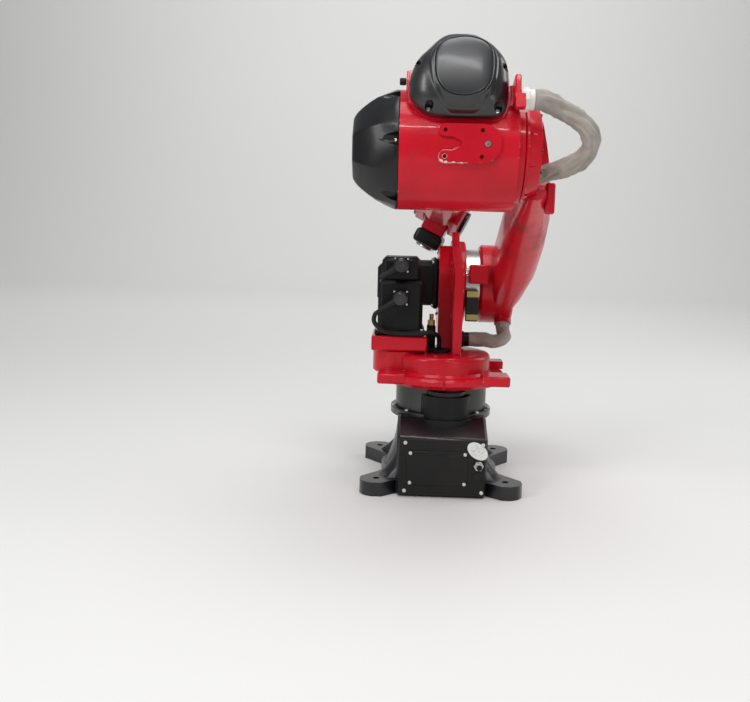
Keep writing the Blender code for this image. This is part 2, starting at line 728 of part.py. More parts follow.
def make_turntable(frame):
    """Turntable: flange, drum, side lugs and the lobe that holds the pinion."""
    flange_top = TURN_BOTTOM + TURN_FLANGE_THICK
    profile = [(0.0, TURN_TOP),
               *[(r, z) for r, z in reversed(arc((DRUM_RADIUS - DRUM_RIM, TURN_TOP - DRUM_RIM),
                                                 DRUM_RIM, 0.0, 90.0, 3))],
               (DRUM_RADIUS, flange_top + DRUM_FILLET), (DRUM_RADIUS + DRUM_FILLET, flange_top),
               (TURN_FLANGE_RADIUS - DRUM_FILLET, flange_top),
               (TURN_FLANGE_RADIUS, flange_top - DRUM_FILLET),
               (TURN_FLANGE_RADIUS, TURN_BOTTOM + TURN_CHAMFER),
               (TURN_FLANGE_RADIUS - TURN_CHAMFER, TURN_BOTTOM), (0.0, TURN_BOTTOM)]
    turntable = turned("turntable", profile, frame, "red_paint")
    lugs = [block(f"turn_lug_{name}", (LUG_LENGTH, LUG_WIDTH, LUG_THICK), frame,
                  at=(side * (LUG_REACH - LUG_LENGTH / 2), LUG_WIDTH / 2 - LUG_REAR,
                      LUG_BOTTOM + LUG_THICK / 2), edge=SOFT_EDGE)
            for name, side in (("left", -1), ("right", 1))]
    raised = block("turn_flange_block", FLANGE_BLOCK, frame,
                   at=(*FLANGE_BLOCK_AT, flange_top + FLANGE_BLOCK[2] / 2 - FINE_EDGE), edge=FINE_EDGE)
    lobe = rod("pinion_lobe", PINION_LOBE_RADIUS, flange_top - BURIED, SHELF_BOTTOM - SEAT_GAP, "Z",
               frame, across=(MOTOR_X, 0.0), edge=SOFT_EDGE)
    notch = block("turn_notch", (NOTCH_WIDTH, 2 * NOTCH_DEPTH, TURN_FLANGE_THICK + CUT_OVERRUN), frame,
                  at=(0.0, -TURN_FLANGE_RADIUS, TURN_BOTTOM))
    cut(join(turntable, *lugs, raised, lobe), notch)
    between("motor_shelf", (MOTOR_X - SHELF_WIDTH / 2, -SHELF_DEPTH / 2, SHELF_BOTTOM),
            (MOTOR_X + SHELF_WIDTH / 2, SHELF_DEPTH / 2, SHELF_BOTTOM + SHELF_THICK), frame,
            "red_paint", SOFT_EDGE)


def make_motor(name, frame, at, turn, sides, lengths):
    """Servo motor that stands on its flange: flange, body and encoder cap, end to end."""
    flange_side, body_side, cap_side = sides
    body_length, cap_length = lengths
    carrier = make_frame(name + "_seat", frame, at, turn)
    body_start = MOTOR_FLANGE_THICK
    cap_start = body_start + body_length
    half = body_side / 2
    motor = between(name, (-half, -half, FINE_EDGE), (half, half, cap_start), carrier,
                    "motor_black", MOTOR_EDGE)
    half = flange_side / 2
    flange = between(name + "_flange", (-half, -half, 0.0), (half, half, MOTOR_FLANGE_THICK), carrier,
                     edge=SOFT_EDGE)
    half = cap_side / 2
    cap = between(name + "_cap", (-half, -half, cap_start - BURIED), (half, half, cap_start + cap_length),
                  carrier, edge=MOTOR_EDGE)
    return join(motor, flange, cap)


def add_socket(motor, name, back, height, frame):
    """Square socket with a round connector on the back of the upright motor."""
    half = SOCKET_SIDE / 2
    seat = between(name + "_seat", (MOTOR_X - half, -back - SOCKET_DEPTH, height - half),
                   (MOTOR_X + half, -back + BURIED, height + half), frame, edge=FINE_EDGE)
    ring_end = back + SOCKET_DEPTH + SOCKET_LENGTH
    ring = rod(name + "_ring", SOCKET_RADIUS, -ring_end, -back - SOCKET_DEPTH + BURIED / 2, "Y", frame,
               across=(MOTOR_X, height), sides=24)
    join(motor, seat, ring)
    return ring_end


def make_plug(name, back, height, frame):
    """Angled plug on a motor socket, with a boot that runs down to the left."""
    start = back + SEAT_GAP
    plug = rod(name, PLUG_RADIUS, -start - PLUG_LENGTH, -start, "Y", frame, "rubber",
               (MOTOR_X, height), sides=24, edge=FINE_EDGE)
    middle = -start - PLUG_LENGTH / 2
    lean = Vector((-math.cos(PLUG_TILT), 0.0, -math.sin(PLUG_TILT)))
    centre = Vector((MOTOR_X, middle, height)) + lean * PLUG_BOOT_LENGTH / 2
    shape = bmesh.new()
    bmesh.ops.create_cone(shape, cap_ends=True, segments=24, radius1=PLUG_BOOT_END,
                          radius2=PLUG_LENGTH / 2 - FINE_EDGE, depth=PLUG_BOOT_LENGTH)
    mesh = bpy.data.meshes.new(name + "_boot")
    shape.to_mesh(mesh)
    shape.free()
    turn = (-lean).to_track_quat("Z", "Y").to_euler()
    boot = place(name + "_boot", mesh, frame, None, centre, turn)
    join(plug, boot)
    return centre + lean * PLUG_BOOT_LENGTH / 2, lean


def make_motors(frame):
    """Upright motor of the first joint with its plugs, and the second joint's motor."""
    shelf_top = SHELF_BOTTOM + SHELF_THICK + SEAT_GAP
    motor = make_motor("j1_motor", frame, (MOTOR_X, 0.0, shelf_top), FLAT,
                       (J1_FLANGE_SIDE, J1_BODY_SIDE, J1_CAP_SIDE), (J1_BODY_LENGTH, J1_CAP_LENGTH))
    body_bottom = shelf_top + MOTOR_FLANGE_THICK
    power_height = body_bottom + J1_BODY_LENGTH * J1_POWER_SHARE
    signal_height = body_bottom + J1_BODY_LENGTH + J1_CAP_LENGTH * J1_SIGNAL_SHARE
    power_end = add_socket(motor, "power_socket", J1_BODY_SIDE / 2, power_height, frame)
    signal_end = add_socket(motor, "signal_socket", J1_CAP_SIDE / 2, signal_height, frame)
    boot_end, lean = make_plug("j1_power_plug", power_end, power_height, frame)
    make_plug("j1_signal_plug", signal_end, signal_height, frame)
    make_motor("j2_motor", frame, (STEP_LEFT - SEAT_GAP, J2_AHEAD, J2_HEIGHT), (0.0, -math.pi / 2, 0.0),
               (J2_FLANGE_SIDE, J2_BODY_SIDE, J2_CAP_SIDE), (J2_BODY_LENGTH, J2_CAP_LENGTH))
    make_motor_cable(frame, boot_end + lean * SEAT_GAP, lean, shelf_top + CABLE_RADIUS)


def make_motor_cable(frame, start, lean, shelf_level):
    """Cable from the power plug, along the back of the shelf, down into the grommet."""
    back = -J1_FLANGE_SIDE / 2 - 1.4 * CABLE_RADIUS
    left = MOTOR_X - J1_FLANGE_SIDE / 2
    right = MOTOR_X + SHELF_WIDTH / 2
    grommet = Vector((*GROMMET_AT, TURN_TOP + 2 * SEAT_GAP + GROMMET_THICK))
    rise = 4 * CABLE_RADIUS
    points = [start, start + lean * 2 * CABLE_RADIUS,
              (left, (start.y + back) / 2, (start.z + shelf_level) / 2),
              (left + rise, back - SEAT_GAP, shelf_level + CABLE_RADIUS),
              (MOTOR_X, back - SEAT_GAP, shelf_level + SEAT_GAP),
              (right - rise, back - SEAT_GAP, shelf_level + SEAT_GAP),
              (right + CABLE_RADIUS, back, shelf_level + CABLE_RADIUS),
              (grommet.x - CABLE_RADIUS, (grommet.y + back) / 2, shelf_level - CABLE_RADIUS),
              grommet + Vector((0.0, 0.0, rise)), grommet]
    tube("motor_cable", smooth_route(points, 3 * CABLE_RADIUS), CABLE_RADIUS, frame, "rubber")


def make_shoulder(frame):
    """Shoulder wall: rear post and web, boss for the reducer, step for the motor, lifting lug."""
    floor = TURN_TOP + SEAT_GAP
    axis = (J2_AHEAD, J2_HEIGHT)
    toe = J2_AHEAD - TOE_SETBACK
    post_top = J2_HEIGHT + POST_RISE
    post_offset = Vector((-POST_REAR, post_top)) - Vector(axis)
    swing = math.acos(BOSS_RADIUS / post_offset.length)
    upper = math.degrees(math.atan2(post_offset.y, post_offset.x) - swing)
    toe_offset = Vector((toe, floor)) - Vector(axis)
    swing = math.acos(BOSS_RADIUS / toe_offset.length)
    lower = math.degrees(math.atan2(toe_offset.y, toe_offset.x) + swing)
    outline = [(-POST_REAR, floor), (toe, floor),
               *arc(axis, BOSS_RADIUS, lower, upper, 6 * ARC_STEPS), (-POST_REAR, post_top)]
    wall = plate("shoulder_wall", outline, WALL_RIGHT - WALL_LEFT, frame, "red_paint",
                 ((WALL_LEFT + WALL_RIGHT) / 2, 0.0, 0.0), ACROSS, edge=SOFT_EDGE)
    boss = rod("shoulder_boss", BOSS_RADIUS - FINE_EDGE, WALL_LEFT + SOFT_EDGE, BOSS_RIGHT, "X", frame,
               across=axis, sides=48, edge=SOFT_EDGE)
    step_outline = tangent_outline(STEP_RADIUS, axis, J2_AHEAD - STEP_SETBACK, toe - BURIED, floor)
    step = plate("shoulder_step", step_outline, WALL_LEFT - STEP_LEFT + BURIED, frame,
                 at=((WALL_LEFT + STEP_LEFT + BURIED) / 2, 0.0, 0.0), turn=ACROSS, edge=SOFT_EDGE)
    lug_top = J2_HEIGHT + BOSS_RADIUS + LIFT_LUG_RISE
    half = LIFT_LUG_WIDTH / 2
    lug_outline = [(-half, -half), (half, -half), *arc((0.0, 0.0), half / 2, 0.0, 180.0, 2 * ARC_STEPS)]
    lug = plate("lifting_lug", lug_outline, WALL_RIGHT - WALL_LEFT - 2 * FINE_EDGE, frame,
                at=((WALL_LEFT + WALL_RIGHT) / 2, J2_AHEAD, lug_top - half / 2), turn=ACROSS,
                edge=FINE_EDGE)
    eye = rod("lifting_hole", LIFT_LUG_HOLE, WALL_LEFT - CUT_OVERRUN, WALL_RIGHT + CUT_OVERRUN, "X",
              frame, across=(J2_AHEAD, lug_top - half / 2), sides=20)
    cut(join(wall, boss, step, lug), eye)
    rod("j2_reducer", J2_REDUCER_RADIUS, BOSS_RIGHT + SEAT_GAP, ARM_HUB_LEFT - SEAT_GAP, "X", frame,
        "bright_steel", axis, sides=48)
    front = J2_AHEAD - BOSS_RADIUS + BUFFER_BITE
    top = J2_HEIGHT - BUFFER_DROP
    between("j2_buffer", (BOSS_RIGHT + SEAT_GAP, front - BUFFER_DEPTH, top - BUFFER_LENGTH),
            (BUFFER_RIGHT, front, top), frame, "buffer_black", FINE_EDGE)


def make_drum_fittings(frame):
    """Grommet, valve block and brass fitting on the drum, and the lower hose's gland."""
    floor = TURN_TOP + SEAT_GAP
    rod("cable_grommet", GROMMET_RADIUS, floor, floor + GROMMET_THICK, "Z", frame, "rubber",
        GROMMET_AT, sides=32, edge=FINE_EDGE)
    top = floor + VALVE_SIZE[2]
    block("valve_block", VALVE_SIZE, frame, "motor_black", (*VALVE_AT, floor + VALVE_SIZE[2] / 2),
          edge=FINE_EDGE)
    brass = rod("brass_fitting", BRASS_HEX_RADIUS, top + SEAT_GAP, top + SEAT_GAP + BRASS_HEX_LENGTH, "Z",
                frame, "brass", VALVE_AT, sides=6)
    stem_top = top + BRASS_HEX_LENGTH + BRASS_STEM_LENGTH
    stem = rod("brass_stem", BRASS_STEM_RADIUS, top + BRASS_HEX_LENGTH / 2, stem_top, "Z", frame,
               across=VALVE_AT, sides=16)
    join(brass, stem)
    start = WALL_RIGHT + SEAT_GAP
    across = (J2_AHEAD - LOWER_GLAND_SETBACK, TURN_TOP + LOWER_GLAND_RISE)
    gland = rod("shoulder_hose_gland", HOSE_RADIUS, start + FINE_EDGE, start + LOWER_GLAND_LENGTH, "X",
                frame, "motor_black", across, sides=24)
    nut = rod("shoulder_gland_nut", GLAND_NUT_RADIUS - FINE_EDGE, start, start + LOWER_GLAND_LENGTH / 2,
              "X", frame, across=across, sides=6)
    join(gland, nut)


def arm_ring(share, inner_share, outer_share, depth_share):
    """Rounded section of the lower arm, across its length."""
    span = ARM_OUTER_FACE - ARM_INNER_FACE
    low = ARM_INNER_FACE + span * inner_share
    high = ARM_INNER_FACE + span * outer_share
    middle = (low + high) / 2
    ring = []
    for i in range(ARM_RING_STEPS):
        angle = 2 * math.pi * (i + 0.5) / ARM_RING_STEPS
        c, s = math.cos(angle), math.sin(angle)
        stretch = (abs(c) ** ARM_SQUARENESS + abs(s) ** ARM_SQUARENESS) ** (-1 / ARM_SQUARENESS)
        ring.append((middle + (high - low) / 2 * stretch * c, ARM_DEPTH * depth_share * stretch * s,
                     ARM_LENGTH * share))
    return ring


def make_lower_arm(frames):
    """Lower arm: bowed casting between two round hubs, with ribs, recess and stop block."""
    line = frames["arm"]
    arm = loft("lower_arm", [arm_ring(*shares) for shares in ARM_STATION_SHARES], line, "red_paint")
    hub = rod("arm_hub", ARM_HUB_RADIUS, ARM_HUB_LEFT, ARM_HUB_RIGHT, "X", line, sides=48, edge=HUB_EDGE)
    flange_end = ELBOW_HUB_LEFT + ELBOW_HUB_FLANGE
    profile = [(0.0, ELBOW_HUB_RIGHT), (ELBOW_HUB_RIM - SOFT_EDGE, ELBOW_HUB_RIGHT),
               (ELBOW_HUB_RIM, ELBOW_HUB_RIGHT - SOFT_EDGE), (ELBOW_HUB_NECK, flange_end),
               (ELBOW_HUB_RADIUS, flange_end), (ELBOW_HUB_RADIUS, ELBOW_HUB_LEFT + SOFT_EDGE),
               (ELBOW_HUB_RADIUS - SOFT_EDGE, ELBOW_HUB_LEFT), (0.0, ELBOW_HUB_LEFT)]
    elbow_hub = turned("elbow_hub", profile, frames["j3"], turn=(0.0, math.pi / 2, 0.0))
    tall = ELBOW_HUB_RADIUS - FINE_EDGE
    low = ELBOW_HUB_RIM - FINE_EDGE
    gusset = [(flange_end - FINE_EDGE, -tall), (ELBOW_HUB_RIGHT - SOFT_EDGE, -low),
              (ELBOW_HUB_RIGHT - SOFT_EDGE, low), (flange_end - FINE_EDGE, tall)]
    for i in range(RIB_COUNT):
        angle = math.pi * (i + RIB_START_SHARE) / RIB_COUNT
        rib = plate(f"hub_rib_{i}", gusset, RIB_THICK, frames["j3"], turn=(angle, 0.0, 0.0))
        join(elbow_hub, rib)
    recess = rod("hub_recess", RECESS_RADIUS, ELBOW_HUB_RIGHT - RECESS_DEPTH,
                 ARM_OUTER_FACE + CUT_OVERRUN, "X", line, across=(0.0, ARM_LENGTH), sides=PLAN_STEPS)
    cut(join(arm, hub, elbow_hub), recess)
    stop_front = STOP_BITE - ARM_HUB_RADIUS
    stop = between("arm_stop", (STOP_LEFT, stop_front - STOP_DEPTH, STOP_RISE),
                   (STOP_RIGHT, stop_front, STOP_RISE + STOP_LENGTH), frames["j2"], edge=SOFT_EDGE)
    lug = block("clamp_lug", CLAMP_LUG, frames["j3"], at=CLAMP_LUG_AT, edge=SOFT_EDGE)
    across = Vector((0.0, math.cos(ARM_GLAND_ANGLE), math.sin(ARM_GLAND_ANGLE)))
    depth = ARM_HUB_RADIUS + ARM_GLAND_LENGTH
    centre = Vector((ARM_GLAND_X, 0.0, 0.0)) + across * depth / 2
    shape = bmesh.new()
    bmesh.ops.create_cone(shape, cap_ends=True, segments=24, radius1=GLAND_NUT_RADIUS,
                          radius2=GLAND_NUT_RADIUS, depth=depth)
    mesh = bpy.data.meshes.new("arm_gland")
    shape.to_mesh(mesh)
    shape.free()
    gland = place("arm_gland", mesh, frames["j2"], None, centre, across.to_track_quat("Z", "X").to_euler())
    join(arm, stop, lug, gland)


def pad_outline():
    """Machined pad behind the elbow: a round right end and two lobes on the left."""
    left, right = PAD_HOLE_X
    lobe = PAD_LOBE_RADIUS
    half = PAD_HOLE_Z
    top = half + lobe
    inner = half - lobe
    return [*arc((right, 0.0), PAD_END_RADIUS, -90.0, 90.0, 3 * ARC_STEPS),
            *arc((left, half), lobe, 90.0, 270.0, 2 * ARC_STEPS), (PAD_NOTCH_X - inner, inner),
            *arc((PAD_NOTCH_X, 0.0), inner / 2, 60.0, -60.0), (PAD_NOTCH_X - inner, -inner),
            *arc((left, -half), lobe, 90.0, 270.0, 2 * ARC_STEPS), (right, -top)][:-1]


def two_sided(right, left):
    """Whole outline from the corners of its right and left halves, both from the bottom up."""
    return [*right, *[(-x, z) for x, z in reversed(left)]]


def dome_rings(corners, radius, depth, shares):
    """Sections of a dome: one outline that shrinks as it rises backwards from the hood's plane."""
    outline = rounded(corners, radius)
    rings = []
    for depth_share, size_share in shares:
        back = -HOOD_PLANE - depth * depth_share
        rings.append([(x * size_share, back, HOOD_HEART + (z - HOOD_HEART) * size_share + FOREARM_RISE)
                      for x, z in outline])
    return rings


def make_elbow(frames):
    """Elbow housing: a barrel across the arm, the upper tube and the flange for the hood."""
    j3, upper = frames["j3"], frames["upper"]
    housing = rod("elbow_housing", BARREL_RADIUS, BARREL_LEFT, BARREL_RIGHT, "X", j3, "red_paint",
                  sides=PLAN_STEPS)
    tube_body = rod("elbow_tube", UPPER_RADIUS, -HOOD_PLANE + UPPER_FLANGE_THICK / 2, UPPER_FRONT, "Y", upper,
                    across=(0.0, FOREARM_RISE), sides=48, edge=SOFT_EDGE)
    middle = -HOOD_PLANE + SEAT_GAP + UPPER_FLANGE_THICK / 2
    rim = rounded(two_sided(HOOD_RIGHT, HOOD_LEFT), HOOD_CORNER_RADIUS)
    outline = [(x, z + FOREARM_RISE) for x, z in rim]
    flange = plate("hood_flange", outline, UPPER_FLANGE_THICK, upper, at=(0.0, middle, 0.0),
                   turn=BACKWARD, edge=FINE_EDGE)
    foot = between("bracket_foot", (UPPER_RADIUS - BURIED, -HOOD_PLANE + BURIED, BRACKET_BOTTOM + BURIED),
                   (BRACKET_RIGHT - BURIED, -BRACKET_FRONT - FINE_EDGE, BRACKET_TOP - BURIED), upper)
    bracket = between("gland_bracket", (BRACKET_LEFT, -BRACKET_BACK, BRACKET_BOTTOM),
                      (BRACKET_RIGHT, -BRACKET_FRONT, BRACKET_TOP), upper, edge=SOFT_EDGE)
    toe_front = -GLAND_BACK - GLAND_NUT_RADIUS - FINE_EDGE
    toe = between("bracket_toe", (BRACKET_LEFT, -TOE_BACK, TOE_BOTTOM), (TOE_RIGHT, toe_front, TOE_TOP),
                  upper, edge=FINE_EDGE)
    vent_lug = block("vent_lug", VENT_LUG, upper, at=VENT_LUG_AT, edge=FINE_EDGE)
    pad = plate("elbow_pad", pad_outline(), PAD_DEPTH, j3,
                at=(0.0, -BARREL_RADIUS - PAD_PROUD + PAD_DEPTH / 2, PAD_RISE), turn=BACKWARD,
                edge=FINE_EDGE)
    join(housing, tube_body, flange, foot, bracket, toe, vent_lug, pad)
    face = BARREL_RADIUS + PAD_PROUD
    for i, (x, side) in enumerate((x, side) for x in PAD_HOLE_X for side in (-1, 1)):
        hole = rod(f"pad_hole_{i}", PAD_HOLE_RADIUS, -face - CUT_OVERRUN, -face + PAD_HOLE_DEPTH, "Y", j3,
                   across=(x, PAD_RISE + side * PAD_HOLE_Z), sides=12)
        cut(housing, hole)
    seat = rod("pad_plug_seat", PAD_PLUG_RADIUS + SEAT_GAP, -face - CUT_OVERRUN,
               -face + PAD_HOLE_DEPTH, "Y", j3, across=(PAD_PLUG_X, PAD_RISE), sides=20)
    cut(housing, seat)
    rod("pad_plug", PAD_PLUG_RADIUS, -face - PAD_PLUG_PROUD, -face + PAD_HOLE_DEPTH - SEAT_GAP, "Y", j3,
        "bright_steel", (PAD_PLUG_X, PAD_RISE), sides=20)
    rod("j3_reducer_ring", RING_RADIUS, BARREL_RIGHT + SEAT_GAP, ELBOW_HUB_LEFT - SEAT_GAP,
        "X", j3, "red_paint", sides=48)
    rod("j4_ring", J4_RING_RADIUS, UPPER_FRONT + SEAT_GAP, UPPER_FRONT + J4_RING_LENGTH, "Y", upper,
        "machined_iron", (0.0, FOREARM_RISE), sides=48)


def make_elbow_fittings(frames):
    """Vent fitting on the left of the elbow and the upper hose's gland on the right."""
    upper = frames["upper"]
    vent_start = VENT_LUG_AT[0] - VENT_LUG[0] / 2 - SEAT_GAP
    rod("vent_fitting", VENT_RADIUS, vent_start - VENT_LENGTH, vent_start, "X", upper, "rubber",
        VENT_LUG_AT[1:], sides=16, edge=FINE_EDGE)
    start = BRACKET_RIGHT + SEAT_GAP
    place_of = (-GLAND_BACK, GLAND_HEIGHT)
    gland = rod("hose_gland", HOSE_RADIUS, start + FINE_EDGE, start + GLAND_LENGTH, "X", upper,
                "gland_white", place_of, sides=24)
    nut = rod("hose_gland_nut", GLAND_NUT_RADIUS - SEAT_GAP, start, start + GLAND_NUT_LENGTH, "X", upper,
              across=place_of, sides=8)
    join(gland, nut)


def cap_ring(depth_share, size_share, flat_share):
    """Section of the elbow cap: a circle that turns into an eight-sided outline."""
    ring = []
    for i in range(PLAN_STEPS):
        angle = 2 * math.pi * i / PLAN_STEPS
        within = (angle + math.pi / CAP_SIDES) % (2 * math.pi / CAP_SIDES) - math.pi / CAP_SIDES
        flat = math.cos(math.pi / CAP_SIDES) / math.cos(within)
        shape = 1.0 + (flat - 1.0) * flat_share * CAP_FLATNESS
        radius = BARREL_RADIUS * size_share * shape
        ring.append((BARREL_LEFT - SEAT_GAP - CAP_LENGTH * depth_share, radius * math.cos(angle),
                     radius * math.sin(angle)))
    return ring


def make_cap(frame):
    """Moulded cap over the third joint's motor, with screw pockets round its rim."""
    cap = loft("j3_motor_cap", [cap_ring(*shares) for shares in CAP_SHARES], frame, "black_plastic")
    pocket_end = BARREL_LEFT - SEAT_GAP - CAP_POCKET_DEPTH
    for i in range(CAP_SIDES // 2):
        angle = 2 * math.pi * i / (CAP_SIDES // 2)
        across = (CAP_POCKET_OFFSET * math.cos(angle), CAP_POCKET_OFFSET * math.sin(angle))
        pocket = rod(f"cap_pocket_{i}", CAP_POCKET_RADIUS, BARREL_LEFT - CAP_LENGTH, pocket_end, "X",
                     frame, across=across, sides=16)
        cut(cap, pocket)


def make_hood(frame):
    """Rear hood: a lopsided dome on its flange, a raised visor with its window and screw pockets."""
    dome = dome_rings(two_sided(HOOD_RIGHT, HOOD_LEFT), HOOD_CORNER_RADIUS, HOOD_DEPTH, HOOD_SHARES)
    hood = loft("rear_hood", dome, frame, "black_plastic")
    visor = loft("hood_visor", dome_rings(two_sided(VISOR_CORNERS, VISOR_CORNERS), VISOR_CORNER_RADIUS,
                                          VISOR_DEPTH, VISOR_SHARES), frame)
    window = loft("hood_window", dome_rings(two_sided(WINDOW_CORNERS, WINDOW_CORNERS),
                                            VISOR_CORNER_RADIUS, VISOR_DEPTH, WINDOW_SHARES), frame)
    join(hood, visor, window)
    for i, (x, z) in enumerate(HOOD_POCKETS):
        pocket = rod(f"hood_pocket_{i}", HOOD_POCKET_RADIUS, -HOOD_PLANE - HOOD_DEPTH - CUT_OVERRUN,
                     -HOOD_PLANE - HOOD_POCKET_FLOOR, "Y", frame, across=(x, z + FOREARM_RISE), sides=16)
        cut(hood, pocket)


def make_forearm(frame):
    """Forearm: tapered tube that ends in a fork about the fifth axis, with round covers."""
    root = UPPER_FRONT + J4_RING_LENGTH + SEAT_GAP
    tip = FOREARM_LENGTH - FORK_ROOT
    profile = [(0.0, tip)]
    for share, size in reversed(FOREARM_SHARES):
        profile.append((FOREARM_ROOT_RADIUS * size, root + (tip - root) * share))
    profile.append((0.0, root))
    forearm = turned("forearm", profile, frame, "red_paint", turn=(-math.pi / 2, 0.0, 0.0))
    start = FOREARM_LENGTH - FORK_START
    outline = [(start, -FORK_RADIUS), *arc((FOREARM_LENGTH, 0.0), FORK_RADIUS, -90.0, 90.0, 4 * ARC_STEPS),
               (start, FORK_RADIUS)]
    fork = plate("forearm_fork", outline, 2 * FORK_HALF_WIDTH, frame, turn=ACROSS, edge=SOFT_EDGE)
    slot = between("fork_slot", (-SLOT_HALF_WIDTH, tip, -FOREARM_ROOT_RADIUS),
                   (SLOT_HALF_WIDTH, FOREARM_LENGTH + FORK_RADIUS + CUT_OVERRUN, FOREARM_ROOT_RADIUS), frame)
    cut(join(forearm, fork), slot)
    for name, side in (("fork_cover_left", -1), ("fork_cover_right", 1)):
        inner = side * (FORK_HALF_WIDTH + SEAT_GAP)
        outer = inner + side * FORK_COVER_THICK
        rod(name, FORK_COVER_RADIUS, min(inner, outer), max(inner, outer), "X", frame, "black_plastic",
            (FOREARM_LENGTH, 0.0), sides=40, edge=FINE_EDGE)


def make_wrist(frames):
    """Wrist: housing on its pins in the fork, the drive unit below it and the tool flange."""
    j5, j6 = frames["j5"], frames["j6"]
    housing = rod("wrist_housing", WRIST_RADIUS, -WRIST_HALF_WIDTH, WRIST_HALF_WIDTH, "X", j5,
                  "red_paint", edge=SOFT_EDGE)
    neck = between("wrist_neck", (-WRIST_NECK_SIDE / 2, 0.0, -WRIST_NECK_SIDE / 2),
                   (WRIST_NECK_SIDE / 2, WRIST_UNIT_START - SEAT_GAP, WRIST_NECK_SIDE / 2), j5,
                   edge=SOFT_EDGE)
    pin = rod("wrist_pin", WRIST_PIN_RADIUS, -SLOT_HALF_WIDTH + SEAT_GAP, SLOT_HALF_WIDTH - SEAT_GAP, "X",
              j5, sides=32)
    join(housing, neck, pin)
    half = WRIST_UNIT_SIDE / 2
    unit_end = WRIST_UNIT_START + WRIST_UNIT_LENGTH
    between("wrist_unit", (-half, WRIST_UNIT_START, -half), (half, unit_end, half), j5, "black_plastic",
            WRIST_UNIT_EDGE, 3)
    flange_end = unit_end + SEAT_GAP + TOOL_FLANGE_LENGTH
    flange = rod("tool_flange", TOOL_FLANGE_RADIUS, unit_end + SEAT_GAP, flange_end, "Y", j6,
                 "bright_steel", sides=40, edge=FINE_EDGE)
    bore = rod("tool_bore", TOOL_BORE_RADIUS, flange_end - TOOL_BORE_DEPTH, flange_end + CUT_OVERRUN, "Y",
               j6, sides=24)
    cut(flange, bore)


def in_world(frame, point):
    return frame.matrix_world @ Vector(point)


def make_hoses(frames):
    """Two sleeved hoses: a loop beside the elbow, and one from the shoulder to the arm's hub."""
    upper, j3, j1 = frames["upper"], frames["j3"], frames["j1"]
    start = (BRACKET_RIGHT + SEAT_GAP + GLAND_LENGTH + SEAT_GAP, -GLAND_BACK, GLAND_HEIGHT)
    first = j3.matrix_world.inverted() @ in_world(upper, start)
    recess_floor = ELBOW_HUB_RIGHT - RECESS_DEPTH + SEAT_GAP
    loop = [first, first + Vector((HOSE_LEAD, 0.0, 0.0)), *UPPER_HOSE_ROUTE,
            (recess_floor + UPPER_HOSE_SINK, *UPPER_HOSE_END), (recess_floor, *UPPER_HOSE_END)]
    tube("upper_hose", smooth_route(loop, 2 * HOSE_RADIUS), HOSE_RADIUS, j3, "hose_fabric")
    across = Vector((0.0, math.cos(ARM_GLAND_ANGLE), math.sin(ARM_GLAND_ANGLE)))
    arm_end = (Vector((ARM_GLAND_X, J2_AHEAD, J2_HEIGHT))
               + across * (ARM_HUB_RADIUS + ARM_GLAND_LENGTH + SEAT_GAP))
    wall_end = Vector((WALL_RIGHT + LOWER_GLAND_LENGTH + 2 * SEAT_GAP, J2_AHEAD - LOWER_GLAND_SETBACK,
                       TURN_TOP + LOWER_GLAND_RISE))
    middle = [Vector((x, J2_AHEAD + y, TURN_TOP + z)) for x, y, z in LOWER_HOSE_ROUTE]
    route = [wall_end, wall_end + Vector((HOSE_LEAD, 0.0, 0.0)), *middle,
             arm_end + across * ARM_HOSE_LEAD, arm_end]
    tube("lower_hose", smooth_route(route, 2 * HOSE_RADIUS), HOSE_RADIUS, j1, "hose_fabric")


def main():
    frames = make_frames()
    make_base(frames["base"])
    make_base_fittings(frames["base"])
    make_duct(frames["base"])
    make_turntable(frames["j1"])
    make_motors(frames["j1"])
    make_shoulder(frames["j1"])
    make_drum_fittings(frames["j1"])
    make_lower_arm(frames)
    make_elbow(frames)
    make_elbow_fittings(frames)
    make_cap(frames["j3"])
    make_hood(frames["upper"])
    make_forearm(frames["j4"])
    make_wrist(frames)
    make_hoses(frames)
    bpy.context.view_layer.update()


main()
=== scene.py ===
# %% [markdown]
# # A six-axis robot arm, dressed step by step
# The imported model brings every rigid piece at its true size. This lesson loads
# it, gives each piece a finish, and adds what a solid model leaves out: rounded
# casting edges, the glossy hood, screws, creased hose sleeves, a bare sticker
# and wear.

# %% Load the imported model
import math

import bmesh
import bpy
from mathutils import Euler, Matrix, Vector, noise


